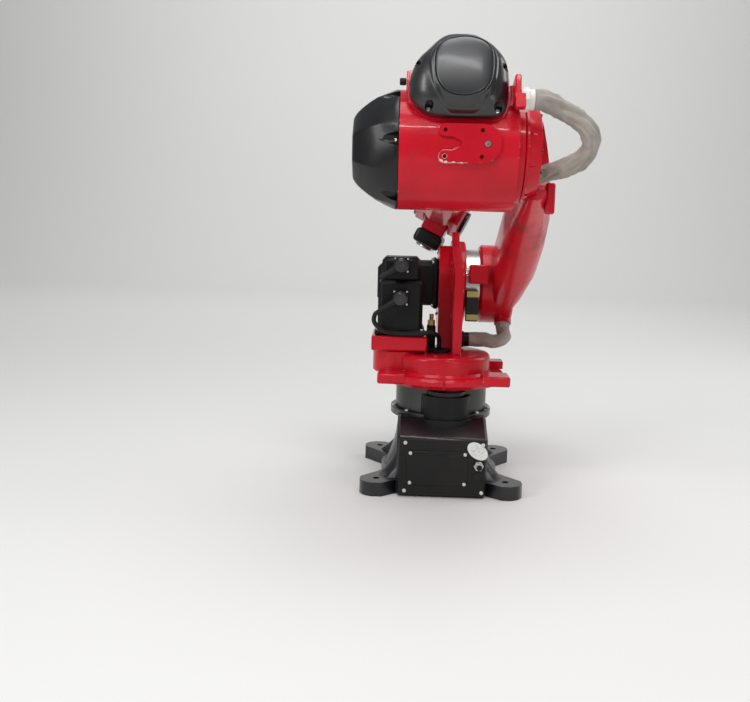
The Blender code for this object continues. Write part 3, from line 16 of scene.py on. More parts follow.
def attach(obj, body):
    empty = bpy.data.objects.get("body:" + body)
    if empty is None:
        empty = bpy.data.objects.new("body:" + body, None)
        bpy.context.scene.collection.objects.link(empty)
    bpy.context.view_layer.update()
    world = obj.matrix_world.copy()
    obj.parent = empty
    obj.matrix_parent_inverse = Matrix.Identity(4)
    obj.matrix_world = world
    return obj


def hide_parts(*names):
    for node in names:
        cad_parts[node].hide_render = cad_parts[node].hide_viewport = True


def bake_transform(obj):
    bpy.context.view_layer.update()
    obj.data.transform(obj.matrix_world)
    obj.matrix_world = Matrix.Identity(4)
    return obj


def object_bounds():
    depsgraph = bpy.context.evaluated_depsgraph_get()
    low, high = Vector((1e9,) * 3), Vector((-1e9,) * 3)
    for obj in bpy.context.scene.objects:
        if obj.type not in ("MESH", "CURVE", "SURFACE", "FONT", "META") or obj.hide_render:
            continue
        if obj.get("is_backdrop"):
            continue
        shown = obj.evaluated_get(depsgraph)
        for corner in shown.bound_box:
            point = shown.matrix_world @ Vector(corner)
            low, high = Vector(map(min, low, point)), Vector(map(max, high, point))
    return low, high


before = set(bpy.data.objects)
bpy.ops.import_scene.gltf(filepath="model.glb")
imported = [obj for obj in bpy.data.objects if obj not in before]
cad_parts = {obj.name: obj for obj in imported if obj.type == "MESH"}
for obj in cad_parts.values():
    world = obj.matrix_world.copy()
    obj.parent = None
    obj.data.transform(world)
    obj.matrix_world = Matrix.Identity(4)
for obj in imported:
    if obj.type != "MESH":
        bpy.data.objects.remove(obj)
CAD_LOW, CAD_HIGH = (tuple(corner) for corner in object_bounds())


def link(thing):
    """Puts a new object into the scene."""
    bpy.context.scene.collection.objects.link(thing)


print("solids:", len(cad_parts), "box:", CAD_LOW, CAD_HIGH)

# %% [markdown]
# ## Camera
# The robot was photographed from behind, from nearly two metres, with the
# camera a little lower than the elbow and looking slightly down. The lens
# follows from where level lines meet, and the small roll tilts the horizon as
# the picture has it.

# %% Camera at the photograph's place
CAMERA_PLACE = (-0.090, -1.98, 0.59)
CAMERA_YAW = math.radians(1.77)
CAMERA_PITCH = math.radians(8.8)
CAMERA_ROLL = math.radians(1.44)
lens = bpy.data.cameras.new("camera")
lens.sensor_width = 36.0
lens.lens = 42.72
camera = bpy.data.objects.new("camera", lens)
link(camera)
camera.matrix_world = (Matrix.Translation(CAMERA_PLACE)
                       @ Euler((math.pi / 2 - CAMERA_PITCH, 0.0, CAMERA_YAW)).to_matrix().to_4x4()
                       @ Matrix.Rotation(CAMERA_ROLL, 4, "Z"))
bpy.context.scene.camera = camera
print("camera looks along", tuple(round(v, 3) for v in camera.matrix_world.col[2][:3]))

# %% [markdown]
# ## Hose and cable routes
# Two sleeved hoses carry the wiring past the elbow and past the shoulder, and a
# thin cable runs from the first motor into the turntable. Each follows the same
# points as its solid: straight out of its gland, then a smooth curve that a
# Catmull-Rom spline draws through every knot. The lower hose shows less than
# six diameters between its glands.

# %% Route points, in metres
J3 = Vector((0.0, -0.38602, 0.69959))
HOSE_DIAMETER = 0.033
CABLE_DIAMETER = 0.010
UPPER_KNOTS = [J3 + Vector(knot) for knot in (
    (0.1126, -0.09513, 0.07875), (0.1266, -0.09513, 0.07875), (0.160, -0.088, 0.065),
    (0.189, -0.085, 0.048), (0.208, -0.079, 0.029), (0.212, -0.068, 0.006), (0.199, -0.055, -0.014),
    (0.176, -0.038, -0.027), (0.1458, -0.012, -0.036), (0.1158, -0.012, -0.036))]
LOWER_KNOTS = [Vector(knot) for knot in (
    (0.0611, 0.055, 0.3085), (0.0751, 0.055, 0.3085), (0.098, 0.055, 0.309), (0.123, 0.058, 0.305),
    (0.144, 0.069, 0.313), (0.1425, 0.08985, 0.32582), (0.1425, 0.09885, 0.34141))]
CABLE_KNOTS = [Vector(knot) for knot in (
    (-0.14135, -0.0773, 0.38232), (-0.14983, -0.0773, 0.37702), (-0.152, -0.06965, 0.35731),
    (-0.132, -0.0623, 0.3373), (-0.097, -0.0623, 0.3326), (-0.056, -0.0623, 0.3326),
    (-0.031, -0.062, 0.3373), (-0.0135, -0.037, 0.3273), (-0.0085, -0.012, 0.3146),
    (-0.0085, -0.012, 0.2946))]


def smooth_route(knots, steps=10):
    """Straight first and last stretches, and a Catmull-Rom curve between them."""
    route = [knots[0].copy(), knots[1].copy()]
    for k in range(1, len(knots) - 2):
        a, b, c, d = knots[k - 1:k + 3]
        for step in range(1, steps + 1):
            t = step / steps
            route.append(0.5 * (2 * b + (c - a) * t + (2 * a - 5 * b + 4 * c - d) * t ** 2
                                + (3 * b - a - 3 * c + d) * t ** 3))
    route.append(knots[-1].copy())
    return route


def even_steps(route, spacing):
    """The same line cut into steps of one length, and its whole length."""
    marks = [0.0]
    for a, b in zip(route, route[1:]):
        marks.append(marks[-1] + (b - a).length)
    count = max(2, round(marks[-1] / spacing))
    points, k = [], 0
    for i in range(count + 1):
        at = marks[-1] * i / count
        while k < len(marks) - 2 and marks[k + 1] < at:
            k += 1
        points.append(route[k].lerp(route[k + 1], (at - marks[k]) / (marks[k + 1] - marks[k])))
    return points, marks[-1]


print("upper hose", round(even_steps(smooth_route(UPPER_KNOTS), 0.002)[1], 4), "m")


# %% [markdown]
# ## Tubes with creases
# A woven sleeve that has been pulled over a bent hose gathers in long diagonal
# folds. A tube is made ring by ring along the route, and each point moves in or
# out by a sum of three noises: wide folds from a low frequency, sharp creases
# from the ridge of a second one, and small puckers from a third. The folds wind
# round the hose as they run along it, and they fade out where it enters a
# gland. The map of the tube stores the way round and the way along, in metres,
# for the weave.

# %% A tube along a route
FOLD_TWIST = 9.0
CALM_END = 0.6


def make_tube(name, knots, diameter, around, spacing, fold=0.0, seed=0.0):
    """A closed tube, the points of its middle line and its length in metres."""
    centres, length = even_steps(smooth_route(knots), spacing)
    mesh = bpy.data.meshes.new(name)
    shape = bmesh.new()
    across = Vector((0.0, 0.0, 1.0))
    rings = []
    for i, centre in enumerate(centres):
        ahead = (centres[min(i + 1, len(centres) - 1)] - centres[max(i - 1, 0)]).normalized()
        across = (across - ahead * across.dot(ahead)).normalized()
        side = ahead.cross(across)
        along = i * length / (len(centres) - 1)
        calm = min(1.0, min(along, length - along) / (diameter * CALM_END))
        ring = []
        for j in range(around):
            turn = math.tau * j / around
            twist = turn + along * FOLD_TWIST
            round_x, round_y = math.cos(twist), math.sin(twist)
            wide = noise.noise(Vector((round_x * 1.5, round_y * 1.5, along * 11.0 + seed)))
            crease = noise.noise(Vector((round_x * 2.4 + 7.0, round_y * 2.4, along * 24.0 + seed)))
            small = noise.noise(Vector((round_x * 5.0, round_y * 5.0 + 3.0, along * 70.0 + seed)))
            depth = wide * 0.9 + (0.5 - abs(crease) * 2.6) * 0.55 + small * 0.35 - 0.25
            radius = diameter / 2 + fold * calm * depth
            outward = across * math.cos(turn) + side * math.sin(turn)
            ring.append(shape.verts.new(centre + outward * radius))
        rings.append(ring)
    grid = shape.loops.layers.uv.new("sleeve")
    for i, (low, high) in enumerate(zip(rings, rings[1:])):
        for j in range(around):
            k = (j + 1) % around
            face = shape.faces.new((low[j], low[k], high[k], high[j]))
            face.smooth = True
            for loop, (u, v) in zip(face.loops, ((j, i), (j + 1, i), (j + 1, i + 1), (j, i + 1))):
                loop[grid].uv = (u / around * math.pi * diameter, v * length / (len(centres) - 1))
    shape.faces.new(tuple(reversed(rings[0])))
    shape.faces.new(rings[-1])
    bmesh.ops.recalc_face_normals(shape, faces=shape.faces)
    shape.to_mesh(mesh)
    shape.free()
    tube = bpy.data.objects.new(name, mesh)
    link(tube)
    return tube, centres, length


print("tube maker ready")

# %% [markdown]
# A hose joins two bodies: one end stays in its gland while the other swings
# with the arm. Here both hoses stay where they are made, and the cable, whose
# two ends are on the same body, rides on the column.

# %% The two sleeved hoses and the motor cable
upper_hose, upper_line, upper_length = make_tube("upper_hose_sleeve", UPPER_KNOTS, HOSE_DIAMETER,
                                                 around=40, spacing=0.0022, fold=0.0048, seed=2.3)
lower_hose, _, lower_length = make_tube("lower_hose_sleeve", LOWER_KNOTS, HOSE_DIAMETER,
                                        around=40, spacing=0.0022, fold=0.0040, seed=9.1)
cable, cable_line, cable_length = make_tube("motor_cable_sheath", CABLE_KNOTS, CABLE_DIAMETER,
                                            around=20, spacing=0.003)
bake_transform(upper_hose)
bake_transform(lower_hose)
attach(cable, "column")
for tube, slot, node in ((upper_hose, "hose_fabric", "upper_hose"),
                         (lower_hose, "hose_fabric", "lower_hose"), (cable, "rubber", "motor_cable")):
    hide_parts(node)
print("hoses", round(upper_length, 4), round(lower_length, 4), "m, cable", round(cable_length, 4), "m")

# %% [markdown]
# ## Shader arithmetic
# A finish is easier to read as a formula than as a web of nodes. `Wire` wraps
# one socket, and its operators add the Math nodes. `Finish` holds one material
# and makes any other node from a type, its settings and its sockets.

# %% A socket that can be used in formulas
class Wire:
    """One socket of a finish, with operators that add Math nodes."""

    def __init__(self, finish, socket):
        self.finish = finish
        self.socket = socket

    def calculate(self, operation, *values):
        """The result of one Math node."""
        return self.finish.node("ShaderNodeMath", {"operation": operation}, *values)

    def __add__(self, other):
        return self.calculate("ADD", self, other)

    def __radd__(self, other):
        return self.calculate("ADD", other, self)

    def __sub__(self, other):
        return self.calculate("SUBTRACT", self, other)

    def __rsub__(self, other):
        return self.calculate("SUBTRACT", other, self)

    def __mul__(self, other):
        return self.calculate("MULTIPLY", self, other)

    def __rmul__(self, other):
        return self.calculate("MULTIPLY", other, self)

    def sine(self):
        return self.calculate("SINE", self)

    def larger(self, other):
        return self.calculate("MAXIMUM", self, other)

    def between(self, low, high):
        """0 below low, 1 above high, and a smooth step from one to the other."""
        return self.finish.node("ShaderNodeMapRange", {"interpolation_type": "SMOOTHSTEP"},
                                self, low, high, 0.0, 1.0)

    def parts(self):
        """The three parts of a vector."""
        split = self.finish.node("ShaderNodeSeparateXYZ", {}, self)
        return [Wire(self.finish, out) for out in split.socket.node.outputs]


print("Math nodes by operator: + - *")


# %% A material that builds its own nodes
FINISHES = {}


class Finish:
    """One material, and the nodes that its formulas add to it."""

    def __init__(self, name, **constants):
        self.name = name
        self.material = bpy.data.materials.new(name)
        self.material.use_nodes = True
        self.tree = self.material.node_tree
        self.shader = self.tree.nodes["Principled BSDF"]
        self.set(**constants)

    def put(self, socket, value):
        """Links a wire to a socket, or sets the socket to a number or a colour."""
        if isinstance(value, Wire):
            self.tree.links.new(value.socket, socket)
        elif socket.type == "RGBA" and len(value) == 3:
            socket.default_value = (*value, 1.0)
        else:
            socket.default_value = value

    def node(self, kind, settings, *values, output=0, **named):
        """One output of a new node; sockets are filled in order, then by name."""
        node = self.tree.nodes.new(kind)
        for key, setting in settings.items():
            setattr(node, key, setting)
        for socket, value in zip(node.inputs, values):
            self.put(socket, value)
        for key, value in named.items():
            self.put(node.inputs[key.replace("_", " ")], value)
        return Wire(self, node.outputs[output])

    def set(self, **sockets):
        """Fills sockets of the main shader."""
        for key, value in sockets.items():
            self.put(self.shader.inputs[key.replace("_", " ")], value)

    def place(self):
        return self.node("ShaderNodeTexCoord", {}, output="Object")

    def noise(self, scale, detail=3.0, roughness=0.5, at=None):
        return self.node("ShaderNodeTexNoise", {}, at or self.place(), Scale=scale, Detail=detail,
                         Roughness=roughness)

    def stretched(self, scale):
        """Object coordinates, drawn out along the parts that are scaled least."""
        return self.node("ShaderNodeMapping", {}, self.place(), Scale=scale)

    def near(self, centre, reach, soft=0.5):
        """1 close to a point, falling to 0 at the reach."""
        away = self.node("ShaderNodeVectorMath", {"operation": "DISTANCE"}, self.place(), centre,
                         output="Value")
        return 1.0 - away.between(reach * (1.0 - soft), reach)

    def mix(self, mask, first, second):
        """The first colour where the mask is 0 and the second where it is 1."""
        node = self.tree.nodes.new("ShaderNodeMix")
        node.data_type = "RGBA"
        for index, value in ((0, mask), (6, first), (7, second)):
            self.put(node.inputs[index], value)
        return Wire(self, node.outputs[2])

    def bump(self, height, distance):
        self.set(Normal=self.node("ShaderNodeBump", {}, Strength=1.0, Distance=distance, Height=height))

    def edges(self, reach):
        """1 on edges that stand out and 0 on flat faces, from the normals of a rounded copy."""
        rounded = self.node("ShaderNodeBevel", {"samples": 4}, reach)
        flat = self.node("ShaderNodeNewGeometry", {}, output="Normal")
        return 1.0 - self.node("ShaderNodeVectorMath", {"operation": "DOT_PRODUCT"}, rounded, flat,
                               output="Value")

    def keep(self):
        """Makes the finish known under its name."""
        FINISHES[self.name] = self.material


print("shader helpers ready")

# %% [markdown]
# ## Red enamel
# The castings are sprayed in a deep red gloss over a slightly pebbled cast
# surface. A fine bump gives the pebbles, a coarse one the dents of the casting,
# and a thin clear coat the wet shine. Handling has rubbed the gloss dull in
# patches and chipped the paint on the sharpest edges. Where one casting has
# been knocked or rubbed in a certain place, a list adds it there: a spot is a
# point, a reach and the share of bare primer that shows, grime is the same for
# dirt, and a rim is a place where every edge within reach has lost its paint.
# On the barrel, the spots high up are not chips but a painted highlight: pale
# speckles where the gloss shines.

# %% One recipe for red enamel
RED = (0.570, 0.0048, 0.0185)
RED_DARK = (0.450, 0.0035, 0.0130)
RUBBED = (0.36, 0.030, 0.024)
PRIMER_AND_HIGHLIGHT = (0.60, 0.57, 0.54)
GRIME = (0.10, 0.035, 0.022)


def red_enamel(name, pebbles, edge_chips, chip_and_highlight_spots=(), grime=(), rims=()):
    """Red gloss; pebbles and edge_chips scale the cast grain and the chipped edges."""
    finish = Finish(name, IOR=1.45, Coat_Roughness=0.05, Coat_IOR=1.35, Specular_IOR_Level=0.20)
    orange_peel = finish.noise(330.0, 2.0)
    dents = finish.noise(46.0, 3.0)
    tone = finish.noise(8.0, 4.0)
    rub = finish.noise(14.0, 6.0, 0.65).between(0.60, 0.76)
    scratches = finish.noise(9.0, 5.0, 0.7, finish.stretched((22.0, 2.0, 9.0))).between(0.70, 0.74)
    speckle = finish.noise(260.0, 4.0, 0.6)
    chip_or_highlight = finish.edges(0.0022).between(0.06, 0.14) * finish.noise(70.0, 4.0, 0.6).between(0.60, 0.64)
    chip_or_highlight = chip_or_highlight * edge_chips
    # A spot paints pale primer specks near a point; on the barrel, the spots high up are a painted
    # highlight, not chips.
    for centre, reach, share in chip_and_highlight_spots:
        bare_or_highlight = finish.near(centre, reach, 0.7) * share + speckle * 0.55
        chip_or_highlight = chip_or_highlight.larger(bare_or_highlight.between(0.76, 0.82))
    for centre, reach in rims:
        bare_or_highlight = finish.near(centre, reach, 0.35) * finish.edges(0.0020).between(0.02, 0.07)
        chip_or_highlight = chip_or_highlight.larger(bare_or_highlight * finish.noise(150.0, 3.0).between(0.36, 0.44))
    dirt = rub * 0.25
    for centre, reach, share in grime:
        smear = finish.noise(24.0, 5.0, 0.6, finish.stretched((2.2, 1.0, 0.5))).between(0.42, 0.62)
        dirt = dirt.larger(finish.near(centre, reach, 0.8) * smear * share)
    colour = finish.mix(tone.between(0.35, 0.75), RED, RED_DARK)
    colour = finish.mix(rub * 0.30, colour, RUBBED)
    colour = finish.mix(dirt, colour, GRIME)
    finish.set(Base_Color=finish.mix(chip_or_highlight, colour, PRIMER_AND_HIGHLIGHT))
    finish.set(Roughness=0.26 + tone * 0.08 + rub * 0.20 + scratches * 0.10 + dirt * 0.30 + chip_or_highlight * 0.25)
    finish.set(Coat_Weight=(0.42 - rub * 0.32) * (1.0 - dirt) * (1.0 - chip_or_highlight))
    finish.bump(orange_peel * 0.45 * pebbles + dents * 0.6 + scratches * -0.15 - chip_or_highlight * 0.9, 0.0005)
    finish.keep()


print("red", RED, "darkens to", RED_DARK)

# %% The four red castings
PAD_EDGE = -0.1045
red_enamel("red_enamel", 1.0, 1.0)
# Along the pad's edge the spots are chips; the spots higher up the barrel are a painted highlight, pale
# speckles where the gloss shines.
red_enamel("red_barrel", 1.0, 0.8,
           chip_and_highlight_spots=[(tuple(J3 + Vector((x, PAD_EDGE, z))), reach, share) for x, z, reach, share in (
               (-0.037, -0.0235, 0.009, 0.68), (-0.028, -0.0256, 0.008, 0.64),
               (-0.016, -0.0256, 0.007, 0.62), (-0.002, -0.0256, 0.006, 0.60),
               (-0.034, 0.030, 0.006, 0.45), (-0.062, 0.052, 0.012, 0.36),
               (-0.040, 0.056, 0.014, 0.36), (0.070, 0.060, 0.012, 0.40))],
           rims=[(tuple(J3 + Vector((-0.018, PAD_EDGE, -0.0250))), 0.030)])
red_enamel("red_arm", 1.9, 1.0,
           chip_and_highlight_spots=[((0.104, 0.050, 0.385), 0.016, 0.50), ((0.108, 0.046, 0.362), 0.016, 0.52),
                  ((0.112, -0.300, 0.640), 0.020, 0.45)],
           grime=[((0.137, -0.270, 0.585), 0.060, 0.50), ((0.165, -0.215, 0.530), 0.065, 0.55),
                  ((0.118, -0.130, 0.500), 0.080, 0.22)])
red_enamel("red_column", 0.9, 1.0,
           chip_and_highlight_spots=[((-0.155, -0.060, 0.300), 0.012, 0.50), ((0.030, -0.138, 0.226), 0.010, 0.50)])
print("finishes:", sorted(FINISHES))

# %% [markdown]
# ## Blacks, metals, rubber and cloth
# Each black on this robot is another stuff: satin paint on the base, moulded
# plastic on the hood and cap, matte powder on the motors and soft rubber on the
# boots. They differ mostly in roughness and in the grain of their bump.

# %% Black finishes
DUST = (0.14, 0.13, 0.12)
SCUFF = (0.09, 0.09, 0.09)
WORN_BLACK = (0.075, 0.075, 0.078)


def black_finish(name, colour, roughness, grain, depth, dust=0.0, coat=0.0, scuffs=0.0, shine=0.26):
    """A near-black surface; grain and depth shape its bump, the rest are shares from 0 to 1."""
    finish = Finish(name, Coat_Roughness=0.16, Specular_IOR_Level=shine)
    fine = finish.noise(grain, 2.0)
    patch = finish.noise(9.0, 5.0, 0.6)
    lines = finish.noise(10.0, 5.0, 0.7, finish.stretched((3.0, 14.0, 2.0))).between(0.68, 0.74)
    settled = patch.between(0.45, 0.8) * dust
    colour_now = finish.mix(settled, colour, DUST)
    colour_now = finish.mix(lines * scuffs, colour_now, SCUFF)
    worn = finish.edges(0.0016).between(0.05, 0.16) * patch.between(0.40, 0.62) * 0.5
    colour_now = finish.mix(worn, colour_now, WORN_BLACK)
    finish.set(Base_Color=colour_now, Coat_Weight=coat * (1.0 - settled),
               Roughness=roughness + patch * 0.10 + lines * 0.12)
    finish.bump(fine - lines * 0.3, depth)
    finish.keep()


black_finish("black_base_paint", (0.0058, 0.0058, 0.0080), 0.24, 430.0, 0.00026, 0.10, 0.15, 0.25, 0.50)
black_finish("black_moulding", (0.0052, 0.0052, 0.0062), 0.28, 900.0, 0.00006, 0.05, 0.15, 0.25, 0.28)
black_finish("hood_moulding", (0.0058, 0.0058, 0.0070), 0.30, 900.0, 0.00006, 0.05, 0.35, 0.25, 0.60)
black_finish("black_sheet", (0.0085, 0.0080, 0.0077), 0.34, 800.0, 0.00010, 0.06, 0.0, 0.15)
black_finish("motor_powder", (0.0032, 0.0032, 0.0036), 0.40, 1100.0, 0.00012, 0.02, 0.0, 0.08)
black_finish("soft_rubber", (0.0080, 0.0080, 0.0088), 0.58, 700.0, 0.00012, 0.12)
black_finish("window_gloss", (0.0060, 0.0065, 0.0085), 0.36, 1200.0, 0.00002, 0.02, 0.30, 0.0, 0.75)
print("finishes:", sorted(FINISHES))


# %% Metal finishes
def metal_finish(name, colour, roughness, scratch, depth, metallic=1.0):
    """Bare metal with fine turning lines and a few stains."""
    finish = Finish(name, Metallic=metallic)
    lines = finish.noise(scratch, 3.0, at=finish.stretched((1.0, 1.0, 14.0)))
    stain = finish.noise(22.0, 4.0, 0.6).between(0.5, 0.8)
    finish.set(Base_Color=finish.mix(stain * 0.4, colour, tuple(c * 0.55 for c in colour)))
    finish.set(Roughness=roughness + lines * 0.14 + stain * 0.12)
    finish.bump(lines, depth)
    finish.keep()


metal_finish("turned_iron", (0.066, 0.067, 0.065), 0.26, 60.0, 0.0002, 0.80)
metal_finish("bright_steel", (0.62, 0.61, 0.58), 0.20, 90.0, 0.00008)
metal_finish("zinc_screw", (0.72, 0.71, 0.68), 0.30, 300.0, 0.00003, 0.8)
metal_finish("screw_black", (0.022, 0.022, 0.023), 0.32, 200.0, 0.00005, 0.5)
metal_finish("coupling_metal", (0.10, 0.10, 0.105), 0.22, 160.0, 0.00005, 0.9)
metal_finish("brass", (0.66, 0.43, 0.15), 0.26, 120.0, 0.00008)
print("finishes:", sorted(FINISHES))


# %% Plain mouldings
def plain_finish(name, colour, roughness):
    """A moulded colour, a little darker in patches."""
    finish = Finish(name)
    patch = finish.noise(30.0, 4.0)
    darker = tuple(c * 0.7 for c in colour)
    finish.set(Base_Color=finish.mix(patch.between(0.4, 0.8) * 0.25, colour, darker),
               Roughness=roughness + patch * 0.1)
    finish.bump(finish.noise(600.0, 2.0), 0.00008)
    finish.keep()


plain_finish("white_nylon", (0.70, 0.69, 0.65), 0.40)
plain_finish("band_green", (0.46, 0.50, 0.13), 0.40)
STICKER_CENTRE = (0.0735, -0.1713, 0.1045)
label = Finish("blank_label", Roughness=0.34)
smudge = label.noise(260.0, 2.0, 0.5, label.stretched((0.7, 1.0, 1.6))).between(0.46, 0.60)
smudge = smudge * label.near(STICKER_CENTRE, 0.0190, 0.5) * 0.45
label.set(Base_Color=label.mix(smudge, (0.72, 0.73, 0.72), (0.40, 0.34, 0.34)))
label.keep()
print("finishes:", sorted(FINISHES))

# %% [markdown]
# The sleeve is a plain weave of matte grey-beige yarn. Two sine waves, one round
# and one along the hose, cross into the weave, and stains darken it in patches.
# It reads the tube's own map, which is in metres, so the yarn keeps its size on
# both hoses.

# %% Woven sleeve
YARN = 0.0011
CLEAN, FADED = (0.500, 0.455, 0.400), (0.375, 0.335, 0.290)
STAIN, GAP = (0.22, 0.19, 0.16), (0.16, 0.14, 0.12)
sleeve = Finish("woven_sleeve", Roughness=0.86, Sheen_Weight=0.25, Sheen_Roughness=0.4,
                Specular_IOR_Level=0.25)
around, along, _ = sleeve.node("ShaderNodeUVMap", {"uv_map": "sleeve"}).parts()
weave = (around * (math.tau / YARN)).sine() * (along * (math.tau / YARN)).sine()
patch = sleeve.noise(26.0, 5.0, 0.6)
stain = sleeve.noise(9.0, 4.0, 0.6).between(0.52, 0.72)
colour = sleeve.mix(patch.between(0.3, 0.7), CLEAN, FADED)
colour = sleeve.mix(stain * 0.40, colour, STAIN)
sleeve.set(Base_Color=sleeve.mix((1.0 - weave) * 0.12, colour, GAP))
sleeve.bump(weave * 0.35 + patch * 0.9, 0.0006)
sleeve.keep()
upper_hose.data.materials.append(FINISHES["woven_sleeve"])
lower_hose.data.materials.append(FINISHES["woven_sleeve"])
cable.data.materials.append(FINISHES["soft_rubber"])
print("sleeves woven")

# %% [markdown]
# ## Castings and housings from the solids
# A cast or milled edge is never knife sharp: the small round catches the light
# and tells the eye that the piece is solid metal. Each solid is copied, its
# loose triangles are merged into whole faces, and a narrow bevel goes on every
# edge that is sharper than the facets of its curves. Each line of the list
# gives a solid's body, its finish, its slot and the width of that bevel.

# %% Selecting a piece and settling it on its body
def deselect_all():
    bpy.ops.object.select_all(action="DESELECT")


def pick(piece):
    """Makes one object the only one that is selected and active."""
    deselect_all()
    piece.select_set(True)
    bpy.context.view_layer.objects.active = piece


def settle(piece, body, finish, slot, *nodes):
    """Shape in place, finish on, riding on its body, and standing for its solids."""
    pick(piece)
    bpy.ops.object.transform_apply(location=True, rotation=True, scale=True)
    piece.data.materials.clear()
    piece.data.materials.append(FINISHES[finish])
    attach(piece, body)
    if nodes:
        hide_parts(*nodes)


def apply_all(piece):
    """Applies every modifier of a piece in order."""
    pick(piece)
    for modifier in list(piece.modifiers):
        bpy.ops.object.modifier_apply(modifier=modifier.name)


print("finishes to settle pieces with:", len(FINISHES))


# %% Shading and rounding
SHARP = 38.0


def smooth_below(piece, angle):
    """Smooth shading wherever faces meet at less than an angle in degrees."""
    pick(piece)
    bpy.ops.object.shade_smooth_by_angle(angle=math.radians(angle))


def subdivide(piece):
    """Rounds a piece by one level of subdivision."""
    smoother = piece.modifiers.new("smoother", "SUBSURF")
    smoother.levels = smoother.render_levels = 1
    apply_all(piece)


def edit_faces(piece, wanted):
    """Opens a piece in edit mode with the faces selected that pass a test."""
    pick(piece)
    bpy.ops.object.mode_set(mode="EDIT")
    bpy.ops.mesh.select_all(action="DESELECT")
    shape = bmesh.from_edit_mesh(piece.data)
    for face in shape.faces:
        face.select_set(wanted(face))
    bmesh.update_edit_mesh(piece.data)


def even_light(piece, angle=SHARP):
    """Smooth shading whose normals follow the large faces, so flats stay flat beside a bevel."""
    smooth_below(piece, angle)
    weighted = piece.modifiers.new("even_light", "WEIGHTED_NORMAL")
    weighted.keep_sharp = True
    weighted.weight = 90
    apply_all(piece)


def round_edges(piece, width, segments=2, angle=SHARP):
    """Bevels every edge that is sharper than an angle in degrees."""
    bevel = piece.modifiers.new("rounded_edges", "BEVEL")
    bevel.width = width
    bevel.segments = segments
    bevel.limit_method = "ANGLE"
    bevel.angle_limit = math.radians(angle)
    apply_all(piece)
    even_light(piece, angle)


print("facets of curves meet at less than", SHARP, "degrees")


# %% Carving, and copies of solids
def carve(piece, cutter):
    """Takes one shape out of another, then deletes the cutter."""
    cut = piece.modifiers.new("carve", "BOOLEAN")
    cut.operation = "DIFFERENCE"
    cut.solver = "EXACT"
    cut.object = cutter
    apply_all(piece)
    bpy.data.objects.remove(cutter, do_unlink=True)


def copy_solid(node):
    """A copy of a solid with its loose triangles merged into whole faces."""
    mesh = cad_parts[node].data.copy()
    piece = bpy.data.objects.new(node + "_dressed", mesh)
    link(piece)
    pick(piece)
    bpy.ops.object.mode_set(mode="EDIT")
    bpy.ops.mesh.select_all(action="SELECT")
    bpy.ops.mesh.remove_doubles(threshold=0.00001)
    bpy.ops.mesh.dissolve_limited(angle_limit=math.radians(0.6))
    bpy.ops.object.mode_set(mode="OBJECT")
    if "sharp_edge" in mesh.attributes:
        mesh.attributes.remove(mesh.attributes["sharp_edge"])
    return piece


print("helpers ready")


# %% Dress every rigid solid
DRESSES = {
    "base_casting": ("base", "black_base_paint", "black_paint", 0.0020),
    "rear_cover": ("base", "black_sheet", "black_plastic", 0.0008),
    "connector_plate": ("base", "black_sheet", "black_plastic", 0.0005),
    "air_fitting": ("base", "bright_steel", "bright_steel", 0.0005),
    "cable_duct": ("base", "motor_powder", "black_plastic", 0.0010),
    "j1_stop_block": ("base", "black_moulding", "black_plastic", 0.0008),
    "j1_reducer": ("base", "turned_iron", "machined_iron", 0.0010),
    "turntable": ("column", "red_column", "red_paint", 0.0020),
    "motor_shelf": ("column", "red_enamel", "red_paint", 0.0014),
    "shoulder_wall": ("column", "red_enamel", "red_paint", 0.0018),
    "j1_motor": ("column", "motor_powder", "motor_black", 0.0012),
    "j1_power_plug": ("column", "soft_rubber", "rubber", 0.0012),
    "j1_signal_plug": ("column", "soft_rubber", "rubber", 0.0012),
    "j2_motor": ("column", "motor_powder", "motor_black", 0.0012),
    "j2_reducer": ("column", "bright_steel", "bright_steel", 0.0008),
    "j2_buffer": ("column", "black_moulding", "buffer_black", 0.0008),
    "cable_grommet": ("column", "soft_rubber", "rubber", 0.0010),
    "valve_block": ("column", "motor_powder", "motor_black", 0.0008),
    "brass_fitting": ("column", "brass", "brass", 0.0005),
    "shoulder_hose_gland": ("column", "motor_powder", "motor_black", 0.0006),
    "lower_arm": ("lower_arm", "red_arm", "red_paint", 0.0030),
    "elbow_housing": ("elbow", "red_barrel", "red_paint", 0.0012),
    "j3_reducer_ring": ("elbow", "red_enamel", "red_paint", 0.0008),
    "vent_fitting": ("elbow", "soft_rubber", "rubber", 0.0008),
    "hose_gland": ("elbow", "white_nylon", "gland_white", 0.0008),
    "j4_ring": ("elbow", "turned_iron", "machined_iron", 0.0010),
    "forearm": ("forearm", "red_enamel", "red_paint", 0.0020),
    "fork_cover_left": ("forearm", "black_moulding", "black_plastic", 0.0015),
    "fork_cover_right": ("forearm", "black_moulding", "black_plastic", 0.0015),
    "wrist_housing": ("wrist", "red_enamel", "red_paint", 0.0012),
    "wrist_unit": ("wrist", "black_moulding", "black_plastic", 0.0015),
    "tool_flange": ("tool_flange", "bright_steel", "bright_steel", 0.0005),
}
for node, (body, finish, slot, edge) in DRESSES.items():
    piece = copy_solid(node)
    round_edges(piece, edge)
    settle(piece, body, finish, slot, node)
print("dressed", len(DRESSES), "solids")

# %% [markdown]
# ## Rear hood
# The hood is one moulding: two soft wings, a raised visor in the middle with a
# glossy window let into it, and four pockets for its screws. Its outlines are
# not circles, so each is measured as a list of points and read as a radius at
# every angle about the same heart. The hood then grows ring by ring from one
# outline to the next, by extruding the rim in edit mode, and each new ring is
# moved to its outline and its depth.

